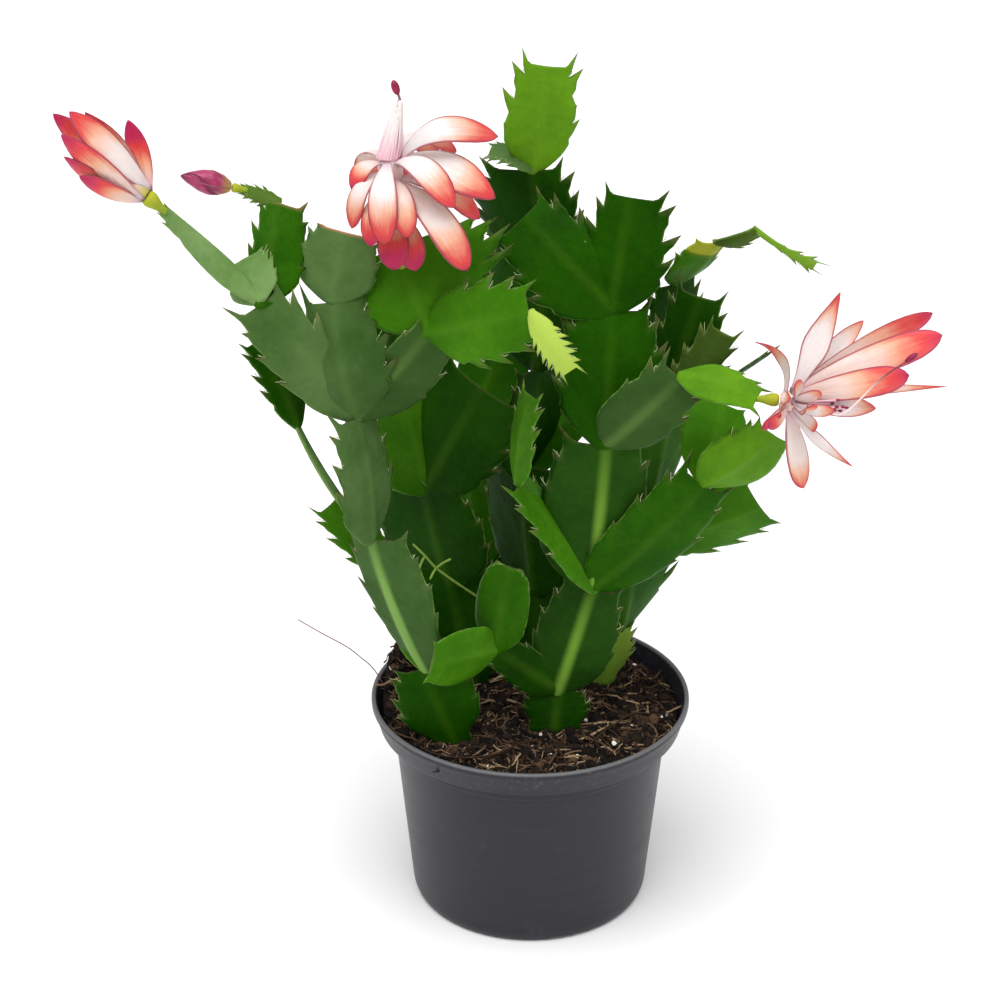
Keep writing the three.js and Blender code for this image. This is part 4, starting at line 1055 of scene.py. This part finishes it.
# %% Grow the petals of each bloom
for order, (name, bloom) in enumerate(BLOOMS.items()):
    chance = np.random.default_rng(70 + order)
    throat, axis, root = bloom_frame(bloom)
    tube_length = float(np.linalg.norm(throat - root))
    gathered = Gathered(petal=3, blush=4)
    middle = (TUBE_FOOT + THROAT_RADIUS) / 2
    end = THROAT_RADIUS * 0.9 * TUBE_ENDS[name]
    line = smooth_profile([(0, 0), (TUBE_FOOT, 0), ((middle + end) / 2, tube_length * 0.5), (end, tube_length),
                           (1.6, tube_length - 0.6), (0, tube_length - 0.8)], 18)
    points, faces = turned(line, 28, root, axis)
    heights = (points - root) @ axis / tube_length
    red, peach_share, green = TUBE_TINTS[name]
    gathered.take(points, faces, petal=facts_of(np.clip(heights * 0.2, 0, 1), 0.6, 0.0),
                  blush=facts_of(red, peach_share, green * np.clip(1.1 - heights * 1.3, 0, 1), 1.0))
    curls = CURLS if name == "right" else []
    for number, (x, y, z, width, bow, level, red, peach_share) in enumerate([*bloom["petals"], *curls]):
        form = PETAL_KINDS[name][number] if number < len(bloom["petals"]) else "blunt"
        bow += MORE_ARCH.get((name, number), 0)
        width *= BROADER.get((name, number), 1)
        red += REDDER[name] + MORE_RED.get((name, number), 0)
        level = max(level - LOWERED[name], 0.1)
        tip = np.array([x, y, z], float) + TIP_SHIFTS.get((name, number), (0, 0, 0))
        centre = root + axis * (tube_length * level - 1)
        outward = tip - centre
        outward = unit(outward - axis * np.dot(outward, axis))
        start = centre + outward * PETAL_ROOT * (0.6 + 0.4 * level)
        lean = np.array([0, -PETAL_LEAN if tip[1] < throat[1] else PETAL_LEAN, 0])
        petal(gathered, chance, start, tip, outward + axis + lean, width, bow, red, peach_share, form)
    gathered.piece(f"petals_{name}", petal_pink, "petal_pink", f"bloom_{name}_petals")

# %% [markdown]
# The closed bud is turned from a drop-shaped profile. Shallow grooves wind round it where the
# wrapped petals overlap, in step with the seams of its finish.

# %% The bud
seat = seats[BUD_ON][0]
axis = unit(BUD_TIP - seat)
root = seat + axis * (BUD_STALK + CLEARANCE)
length = float(np.linalg.norm(BUD_TIP - root))
line = smooth_profile([(0, 0), (BUD_RADIUS * 0.4, 0), (BUD_RADIUS * 0.82, length * 0.18),
                       (BUD_RADIUS, length * 0.4), (BUD_RADIUS * 0.86, length * 0.6),
                       (BUD_RADIUS * 0.46, length * 0.84), (0.3, length), (0, length)], 36)
points, faces = turned(line, 36, root, axis)
heights = (points - root) @ axis / length
radial = points - root - np.outer((points - root) @ axis, axis)
angles = np.arctan2(radial[:, 2], radial[:, 1]) / (2 * math.pi)
fold = 1 - SEAM_DEPTH * (np.sin(SEAM_TWIST * heights + SEAMS_ROUND * angles) > 0.8)
points = root + np.outer((points - root) @ axis, axis) + radial * fold[:, None]
gathered = Gathered(petal=3)
gathered.take(points, faces, petal=facts_of(np.clip(heights, 0, 1), 0.0, angles))
gathered.piece("bud", bud_magenta, "bud_magenta", "bud_petals")


# %% [markdown]
# ## Geometry Nodes: from a line to a thread
#
# Stamens and styles follow a path, so their centre lines are drawn as edges, and one tree sweeps a
# small ring along each line and sets a grain (the anther) on its far end. The same tree makes the
# bristles, the roots and the dry hair. Its sizes are named inputs.

# %% Tools for Geometry Nodes
FLOAT, INTEGER, FINISH = "NodeSocketFloat", "NodeSocketInt", "NodeSocketMaterial"


class Growth(Nodes):
    """A geometry tree. It has a geometry and named inputs, and gives the geometry that it makes."""

    def __init__(self, name, **sizes):
        super().__init__(bpy.data.node_groups.new(name, "GeometryNodeTree"))
        interface = self.tree.interface
        interface.new_socket("Geometry", in_out="INPUT", socket_type="NodeSocketGeometry")
        interface.new_socket("Geometry", in_out="OUTPUT", socket_type="NodeSocketGeometry")
        for label, kind in sizes.items():
            interface.new_socket(label, in_out="INPUT", socket_type=kind)
        self.given = self.add("NodeGroupInput")

    def geo(self, kind, inputs=None, **fields):
        """Adds a geometry node and gives its first output."""
        return self.add("GeometryNode" + kind, inputs, **fields)[0]

    def heading(self, vector, axis, pivot="AUTO"):
        """The rotation that turns an axis into the direction of a vector."""
        return self.add("FunctionNodeAlignRotationToVector", {"Vector": vector}, axis=axis, pivot_axis=pivot)[0]

    def random(self, low, high, seed):
        """A random value between two vectors or two numbers. The node keeps its sockets apart by kind."""
        kind, first, out = ("FLOAT_VECTOR", 0, 0) if isinstance(low, tuple) else ("FLOAT", 2, 1)
        inputs = {first: low, first + 1: high, "Seed": seed}
        return self.add("FunctionNodeRandomValue", inputs, data_type=kind)[out]

    def vector(self, operation, inputs):
        return self.add("ShaderNodeVectorMath", inputs, operation=operation)[0]

    def swept(self, line, sides, radius):
        """A thread of that radius along a line."""
        ring = self.geo("CurvePrimitiveCircle", {"Resolution": sides, "Radius": radius})
        return self.geo("CurveToMesh", {"Curve": line, "Profile Curve": ring, "Fill Caps": True})

    def finished(self, geometry, finish="finish"):
        return self.geo("SetMaterial", {"Geometry": geometry, "Material": self.given[finish]})

    def end(self, geometry):
        self.add("NodeGroupOutput", {"Geometry": geometry})
        print("tree:", self.tree.name, len(self.tree.nodes), "nodes")

    def mesh(self, name, source, **values):
        """Runs the tree on a source mesh with those inputs and gives the plain mesh it makes."""
        holder = bpy.data.objects.new(name + "_source", source)
        scene.collection.objects.link(holder)
        modifier = holder.modifiers.new("grow", "NODES")
        modifier.node_group = self.tree
        for item in self.tree.interface.items_tree:
            if item.in_out == "INPUT" and item.name in values:
                modifier[item.identifier] = values[item.name]
        holder.update_tag()
        bpy.context.view_layer.update()
        graph = bpy.context.evaluated_depsgraph_get()
        made = bpy.data.meshes.new_from_object(holder.evaluated_get(graph), preserve_all_data_layers=True,
                                               depsgraph=graph)
        made.name = name
        holder.modifiers.remove(modifier)
        bpy.data.objects.remove(holder)
        return made


# %% The thread tree
threads = Growth("threads", radius=FLOAT, sides=INTEGER, tip_size=FLOAT, tip_length=FLOAT,
                 tip_roundness=INTEGER, finish=FINISH, tip_finish=FINISH)
lines = threads.geo("MeshToCurve", {"Mesh": threads.given["Geometry"]})
swept = threads.finished(threads.swept(lines, threads.given["sides"], threads.given["radius"]))
bead = threads.geo("MeshIcoSphere", {"Radius": 1.0, "Subdivisions": threads.given["tip_roundness"]})
bead_size = threads.add("ShaderNodeCombineXYZ", {
    "X": threads.given["tip_size"], "Y": threads.given["tip_size"], "Z": threads.given["tip_length"],
})["Vector"]
beads = threads.geo("InstanceOnPoints", {
    "Points": lines, "Selection": threads.geo("CurveEndpointSelection", {"Start Size": 0, "End Size": 1}),
    "Instance": bead, "Rotation": threads.heading(threads.geo("InputTangent"), "Z"), "Scale": bead_size,
})
beads = threads.finished(threads.geo("RealizeInstances", {"Geometry": beads}), "tip_finish")
both = threads.geo("JoinGeometry", {"Geometry": [swept, beads]})
threads.end(threads.geo("SetShadeSmooth", {"Geometry": both}))


# %% From lines to a piece
def line_mesh(name, lines):
    """A mesh of edges only, from lists of points in millimetres."""
    points, edges = [], []
    for line in lines:
        first = len(points)
        points.extend((np.asarray(line, float) * MM).tolist())
        edges.extend((first + i, first + i + 1) for i in range(len(line) - 1))
    made = bpy.data.meshes.new(name)
    made.from_pydata(points, edges, [])
    return made


def soft_line(points, steps):
    """A smooth line through the points (Catmull-Rom), with that many steps in each stretch."""
    p = [np.asarray(q, float) for q in points]
    p = [2 * p[0] - p[1], *p, 2 * p[-1] - p[-2]]
    line = []
    for a, b, c, d in zip(p, p[1:], p[2:], p[3:]):
        for s in np.linspace(0, 1, steps, endpoint=False):
            line.append(0.5 * (2 * b + (c - a) * s + (2 * a - 5 * b + 4 * c - d) * s ** 2
                               + (3 * b - a - 3 * c + d) * s ** 3))
    return [*line, p[-2]]


def thread_piece(name, lines, radius, sides, tip, finishes, node=None):
    """A piece of threads. A tip is its radius, half length and roundness; all sizes in millimetres."""
    tip_size, tip_length, roundness = tip
    made = threads.mesh(name, line_mesh(name + "_lines", lines), radius=radius * MM, sides=sides,
                        tip_size=tip_size * MM, tip_length=tip_length * MM, tip_roundness=roundness,
                        finish=finishes[0], tip_finish=finishes[-1])
    new_piece(name, made, node)


# %% Stamens and pistils
GOLDEN_TURN = 137.5
# Finish of the anthers, spread of the stamens at the throat, and the style: radius, stigma and finish
ORGANS = {
    "top": (stamen_white, 2.9, 0.45, (1.4, 2.7, 2), style_dusk),
    "right": (pistil_magenta, 2.2, 0.3, (1.1, 2.6, 2), style_fading),
}
for order, (name, (anther, spread, style_radius, stigma, style)) in enumerate(ORGANS.items()):
    bloom = BLOOMS[name]
    chance = np.random.default_rng(90 + order)
    throat, axis, _ = bloom_frame(bloom)
    aim = unit(np.array(bloom["aim"], float))
    sideways = unit(np.cross(axis, [0.0, 1.0, 0.0]))
    lines = []
    for k in range(bloom["stamens"]):
        out = turned_about(sideways, axis, GOLDEN_TURN * k)
        radius = 1.3 + spread * math.sqrt(chance.uniform(0, 1))
        start = throat + axis * 0.2 + out * radius
        reach = bloom["stamen_reach"] * chance.uniform(0.62, 1.05)
        end = start + aim * reach - out * radius * (1 - bloom["gather"]) * reach / bloom["stamen_reach"]
        bend = (start + end) / 2 + out * chance.uniform(0.1, 0.7)
        lines.append(soft_line([start, bend, end], 5))
    thread_piece(f"stamens_{name}", lines, 0.3, 6, (0.45, 0.85, 2), (stamen_white, anther),
                 f"bloom_{name}_stamens")
    path = soft_line([throat + axis * CLEARANCE, *bloom["pistil"]], 8)
    thread_piece(f"pistil_{name}", [path], style_radius, 10, stigma, (style, pistil_magenta),
                 f"bloom_{name}_pistil")

# The filaments of the top bloom stand so close that they look like one cone
core = [(0, -0.6), (4.0, -0.6), (3.9, 0.6), (3.0, 5), (2.2, 10), (1.3, 15), (0.7, 17.5), (0, 18)]
points, faces = turned(smooth_profile(core, 24), 28, bloom_frame(BLOOMS["top"])[0], BLOOMS["top"]["aim"])
gathered = Gathered()
gathered.take(points, faces)
gathered.piece("filament_core", stamen_white, "stamen_white")

# %% [markdown]
# ## Bristles and a root in the air
#
# In the notch above each tooth stand a few fine pale bristles that curl forward. Their lines start
# on the edge of the blade, and the thread tree sweeps them. It also makes the one thin root that
# hangs in the air between the left and the back stems.

# %% Bristles in the notches of the teeth, and the root
BRISTLE_LENGTHS, BRISTLES_EACH = (1.6, 3.4), 2
for order, (node, notches) in enumerate(stem_notches.items()):
    chance = np.random.default_rng(300 + order)
    lines = []
    for notch, rib, along, normal in notches:
        outward = unit(notch - rib)
        for _ in range(BRISTLES_EACH):
            reach = chance.uniform(*BRISTLE_LENGTHS)
            sway = normal * chance.uniform(-0.6, 0.6) + outward * chance.uniform(-0.3, 0.5)
            heading = unit(outward * 0.55 + along * 0.8)
            start = notch - outward * 0.4
            lines.append(soft_line([start, start + (heading + outward * 0.3) * reach * 0.5,
                                    start + (heading + sway) * reach], 3))
    thread_piece(f"bristles_{node}", lines, 0.1, 4, (0.08, 0.25, 1), (straw, straw))

AIR_ROOT = [
    [(-20, 14.5, 116), (-28, 7, 126), (-35, 3, 134), (-39, 1, 140), (-43, 0, 145)],
    [(-35, 3, 134), (-32.5, 1.5, 136.8), (-30, 0, 139)],
    [(-35, 3, 134), (-36.2, 2, 132.4), (-37, 1, 131)],
    [(-39, 1, 140), (-40.2, 0.5, 138), (-41, 0, 136)],
]
air_lines = [soft_line(line, 5) for line in AIR_ROOT]
thread_piece("air_root", air_lines, 0.45, 8, (0.4, 0.8, 2), (young_root, young_root))

# %% [markdown]
# ## The pot
#
# A nursery pot is blown or moulded in one thin wall, so its form is a profile turned round the
# axis. The tree below does just that: it bends a grid round the axis, column by column, and reads
# each row's radius and height from the profile. Drain holes and foot notches repeat round the
# pot, so they are cutters set on rings of points and taken away from the wall.

# %% The pot's profile
POT_HEIGHT, RIM, BAND_FOOT, NECK, BODY_TOP, BASE, WALL = 83, 60, 57, 52.4, 51.2, 45, 1.2
NECK_TOP, NECK_FOOT, RISE, RING_INNER, DISC = 72, 67, 2.2, 37, 22


def rounded(corners):
    """A profile whose corners (radius, height, rounding) are short arcs."""
    line = []
    for i, (r, h, bend) in enumerate(corners):
        here = np.array([r, h], float)
        if bend == 0 or i in (0, len(corners) - 1):
            line.append(here)
            continue
        before = np.array(corners[i - 1][:2], float) - here
        after = np.array(corners[i + 1][:2], float) - here
        cut = min(bend, 0.45 * np.linalg.norm(before), 0.45 * np.linalg.norm(after))
        a, b = here + unit(before) * cut, here + unit(after) * cut
        for s in np.linspace(0, 1, 5):
            line.append((1 - s) ** 2 * a + 2 * s * (1 - s) * here + s ** 2 * b)
    return line


profile = rounded([
    (0, 0, 0), (DISC, 0, 0.8), (DISC + 2, RISE, 0.8), (RING_INNER, RISE, 0.6), (RING_INNER + 0.6, 0, 0.4),
    (BASE - 3.2, 0, 1.2), (BASE - 0.9, 1, 1.0), (BASE, 3.6, 1.2), (48.1, 35, 0), (BODY_TOP, NECK_FOOT, 0.5),
    (NECK, NECK_FOOT + 0.6, 0.5), (NECK + 0.4, NECK_TOP, 0.8), (BAND_FOOT, NECK_TOP + 0.4, 0.9),
    (58.6, 78, 0), (RIM, POT_HEIGHT - 2, 0.6), (RIM - 0.1, POT_HEIGHT, 0.55),
    (RIM - WALL - 0.4, POT_HEIGHT, 0.55), (BAND_FOOT - WALL, NECK_TOP + 0.4 + WALL, 0.8),
    (NECK - WALL + 0.4, NECK_TOP + 0.4, 0.5),
    (BODY_TOP - WALL, NECK_FOOT, 0.5), (BASE - WALL - 0.6, RISE + WALL, 1.0), (DISC, RISE + WALL, 0.6),
    (DISC - 2, WALL + 0.6, 0.6), (0, WALL + 0.6, 0),
])
print("profile points:", len(profile))

# %% The turning tree
pot = Growth("turned_pot", steps=INTEGER, rows=INTEGER, drain_ring=FLOAT, drain_radius=FLOAT,
             drain_holes=INTEGER, notch_ring=FLOAT, notches=INTEGER, finish=FINISH)
steps, rows = pot.given["steps"], pot.given["rows"]
grid = pot.geo("MeshGrid", {"Vertices X": pot.math("ADD", steps, 1.0), "Vertices Y": rows})
index = pot.geo("InputIndex")
column = pot.math("FLOOR", pot.math("DIVIDE", pot.math("ADD", index, 0.5), rows))
row_at = pot.math("SUBTRACT", index, pot.times(column, rows))
place = pot.geo("InputPosition")
on_profile = pot.geo("SampleIndex", {
    "Geometry": pot.given["Geometry"], "Value": place, "Index": row_at,
}, data_type="FLOAT_VECTOR", domain="POINT")
swung = pot.add("ShaderNodeVectorRotate", {
    "Vector": on_profile, "Axis": (0, 0, 1), "Angle": pot.math("DIVIDE", pot.times(column, 2 * math.pi), steps),
}, rotation_type="AXIS_ANGLE")["Vector"]
wall = pot.geo("SetPosition", {"Geometry": grid, "Position": swung})
wall = pot.geo("MergeByDistance", {"Geometry": wall, "Distance": 0.00002})


def cutters(ring_radius, count, shape, turn):
    """Cutting bodies set on a ring of points, each turned to face out from the axis."""
    ring = pot.geo("MeshCircle", {"Vertices": count, "Radius": ring_radius})
    ring = pot.geo("Transform", {"Geometry": ring, "Rotation": (0, 0, turn)})
    outward = pot.heading(pot.geo("InputPosition"), "X", "Z")
    placed = pot.geo("InstanceOnPoints", {"Points": ring, "Instance": shape, "Rotation": outward})
    return pot.geo("RealizeInstances", {"Geometry": placed})


drill = pot.geo("MeshCylinder", {"Vertices": 24, "Radius": pot.given["drain_radius"], "Depth": 0.016})
notch = pot.geo("MeshCube", {"Size": (0.014, 0.015, 0.0036)})
holes = cutters(pot.given["drain_ring"], pot.given["drain_holes"], drill, math.pi / 8)
notches = cutters(pot.given["notch_ring"], pot.given["notches"], notch, math.radians(50))
taken = {"Mesh 1": wall, "Mesh 2": [holes, notches]}
cut = pot.geo("MeshBoolean", taken, operation="DIFFERENCE", solver="EXACT")
pot.end(pot.finished(pot.geo("RealizeInstances", {"Geometry": cut})))

# %% Turn the pot
outline = line_mesh("pot_profile", [[(r, 0, h) for r, h in profile]])
made = pot.mesh("nursery_pot", outline, steps=160, rows=len(profile), drain_ring=30.5 * MM,
                drain_radius=3.6 * MM, drain_holes=8, notch_ring=43 * MM, notches=3, finish=pot_plastic)
made.shade_smooth()
made.set_sharp_from_angle(angle=math.radians(38))
new_piece("nursery_pot", made, "pot")

# %% [markdown]
# ## The soil
#
# Potting peat is not a smooth cap. The body below is one closed mesh with an uneven top, heaped
# against the left rim as in the photo, and two trees scatter over it what a maker would strew by
# hand: crumbs of many sizes, dry fibres that lie flat, and a few white grains of perlite.

# %% The body of peat
SOIL_LEVEL, SOIL_RIPPLE, SOIL_DOME, BRIM = 78, 1.1, 0.0005, 55.6
SOIL_SIDES, SOIL_FLOOR, PEAT_SHADE = 120, 3.8, 0.3
TOP_RINGS = np.linspace(1.6, BRIM, 34)
# Radius and height of the rings below the top, down the pot's wall
SIDE_RINGS = [(BRIM - 0.2, 74), (NECK - WALL - 0.3, 72.6), (BODY_TOP - WALL - 0.6, 66), (42.5, SOIL_FLOOR)]


def soil_height(x, y):
    """Ripples and a dome, a heap at the left rim with a low tail to the front, and lumps."""
    ripple = math.sin(0.21 * x + 1.3) * math.cos(0.17 * y - 0.4) + 0.5 * math.sin(0.37 * x - 0.29 * y)
    heap = 15.0 * math.exp(-((x + 50) ** 2 + (y - 15) ** 2) / 70)
    heap += 4.0 * math.exp(-((x + 54) ** 2 / 160 + (y + 4) ** 2 / 600))
    lumps = 0.9 * noise.noise(Vector((x, y, 0)) / 5.5) + 0.5 * noise.noise(Vector((x, y, 9)) / 2.1)
    height = SOIL_LEVEL + SOIL_RIPPLE * ripple - SOIL_DOME * (x * x + y * y) + heap
    return height + lumps


circle = [(math.cos(a), math.sin(a)) for a in np.linspace(0, 2 * math.pi, SOIL_SIDES, endpoint=False)]
points = [(0, 0, soil_height(0, 0))]
for radius in TOP_RINGS:
    points += [(radius * x, radius * y, soil_height(radius * x, radius * y)) for x, y in circle]
top_count = len(points)
for radius, height in SIDE_RINGS:
    points += [(radius * x, radius * y, height) for x, y in circle]
points.append((0, 0, SOIL_FLOOR))
bottom = len(points) - 1
faces = []
for first in range(1, bottom - SOIL_SIDES, SOIL_SIDES):
    for i in range(SOIL_SIDES):
        a, b = first + i, first + (i + 1) % SOIL_SIDES
        faces.append((a, a + SOIL_SIDES, b + SOIL_SIDES, b))
last = bottom - SOIL_SIDES
for i in range(SOIL_SIDES):
    j = (i + 1) % SOIL_SIDES
    faces += [(0, 1 + i, 1 + j), (bottom, last + j, last + i)]
gathered = Gathered(shade=1)
gathered.take(points, faces, shade=PEAT_SHADE)
gathered.piece("peat_body", peat, "soil", "soil")

# Grains grow from a copy of the top without its last ring of faces, which lies under the lip
seed_ground = bpy.data.meshes.new("seed_ground")
ground_faces = [face for face in faces if max(face) < top_count - SOIL_SIDES]
seed_ground.from_pydata((np.array(points[:top_count]) * MM).tolist(), [], ground_faces)


# %% The scattering trees
class Scatter(Growth):
    """A tree that scatters one shape over the ground. No two of its grains are alike."""

    def __init__(self, name, **more):
        super().__init__(name, density=FLOAT, least=FLOAT, greatest=FLOAT, seed=INTEGER, finish=FINISH, **more)

    def strew(self, shape, turns, scales, lump_scale, lump_size):
        """Scatters the shape: each has its own turn, scale and shade, and its points are moved by noise."""
        ground = {"Mesh": self.given["Geometry"], "Density": self.given["density"], "Seed": self.given["seed"]}
        size = self.random(self.given["least"], self.given["greatest"], 7)
        placed = self.geo("InstanceOnPoints", {
            "Points": self.geo("DistributePointsOnFaces", ground), "Instance": shape,
            "Rotation": self.random(*turns, 3),
            "Scale": self.vector("SCALE", {0: self.random(*scales, 5), "Scale": size}),
        })
        marked = self.geo("StoreNamedAttribute", {
            "Geometry": placed, "Name": "shade", "Value": self.random(0.0, 1.0, 11),
        }, data_type="FLOAT", domain="INSTANCE")
        grains = self.geo("RealizeInstances", {"Geometry": marked})
        where = {"Vector": self.geo("InputPosition"), "Scale": lump_scale, "Detail": 1.0}
        lumps = self.add("ShaderNodeTexNoise", where)["Color"]
        centred = self.vector("SUBTRACT", {0: lumps, 1: (0.5, 0.5, 0.5)})
        offset = self.vector("SCALE", {0: centred, "Scale": lump_size})
        self.end(self.finished(self.geo("SetPosition", {"Geometry": grains, "Offset": offset})))


crumbs = Scatter("crumbs", roundness=INTEGER)
pebble = crumbs.geo("MeshIcoSphere", {"Radius": 1.0, "Subdivisions": crumbs.given["roundness"]})
crumbs.strew(pebble, ((0, 0, 0), (6.28, 6.28, 6.28)), ((0.5, 0.5, 0.5), (1.2, 1.2, 1.2)), 900, 0.0016)

fibres = Scatter("fibres", radius=FLOAT)
bent = fibres.geo("CurveQuadraticBezier", {
    "Resolution": 6, "Start": (-0.5, 0, -0.03), "Middle": (0.05, 0.32, 0.12), "End": (0.5, -0.04, -0.02),
})
strand = fibres.swept(bent, 4, fibres.given["radius"])
fibres.strew(strand, ((-0.25, -0.25, 0), (0.25, 0.25, 6.28)), ((0.8, 0.4, 0.8), (1.2, 1.4, 1.2)), 160, 0.004)

# %% Strew the soil
# Tree, grains on each square metre, least and greatest size in metres, seed, finish, and the shape's own input
STREWN = {
    "peat_crumbs": (crumbs, 560000.0, 0.0005, 0.0013, 4, peat, {"roundness": 1}),
    "peat_clods": (crumbs, 52000.0, 0.0013, 0.0027, 9, peat, {"roundness": 2}),
    "perlite_grains": (crumbs, 7000.0, 0.0005, 0.0012, 15, perlite, {"roundness": 2}),
    "dry_fibres": (fibres, 90000.0, 0.005, 0.015, 21, dry_fibre, {"radius": 0.03}),
}
for name, (tree, density, least, greatest, seed, finish, own) in STREWN.items():
    made = tree.mesh(name, seed_ground, density=density, least=least, greatest=greatest, seed=seed,
                     finish=finish, **own)
    new_piece(name, made)

# %% [markdown]
# ## Strands that the photo shows one by one
#
# Pale roots lie across the front of the soil and round the feet of the stems, and one thin dry hair
# leaves the pot over its left rim. They are drawn one by one and swept by the thread tree.

# %% Single strands
ROOTS = [
    [(-40, -36, 80), (-34, -40, 79.5), (-24, -43, 80), (-13, -42, 81), (-4, -36, 82), (2, -31, 80)],
    [(-47, -30, 79), (-42, -40, 80), (-34, -46, 80), (-24, -49, 79.6)],
    [(8, -30, 80), (10, -38, 80.5), (13, -46, 79.5)],
    [(30, -20, 79.5), (38, -14, 81.5), (48, -12, 80)],
    [(20, -34, 79), (26, -28, 81.5), (30, -19, 80)],
]
HAIR = [(-54, 5, 80), (-59, 3, 91), (-64, 1, 97.5), (-69, 0, 102.5), (-78, -4, 110.5), (-86, -6, 117)]
root_lines = [soft_line(line, 7) for line in ROOTS]
thread_piece("pale_roots", root_lines, 0.4, 6, (0.3, 0.6, 2), (dry_fibre, dry_fibre))
thread_piece("dry_hair", [soft_line(HAIR, 7)], 0.22, 5, (0.15, 0.5, 2), (style_dusk, style_dusk))

# %% [markdown]
# ## The size of the dressed plant
#
# The finer pieces must stay in the CAD model's box, so both boxes are printed side by side.

# %% Print both boxes
dressed_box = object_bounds()
for axis_name, low, high, cad_low, cad_high in zip("xyz", *dressed_box, *cad_box):
    print(f"{axis_name}: {low:.4f} to {high:.4f} m, CAD {cad_low:.4f} to {cad_high:.4f} m")
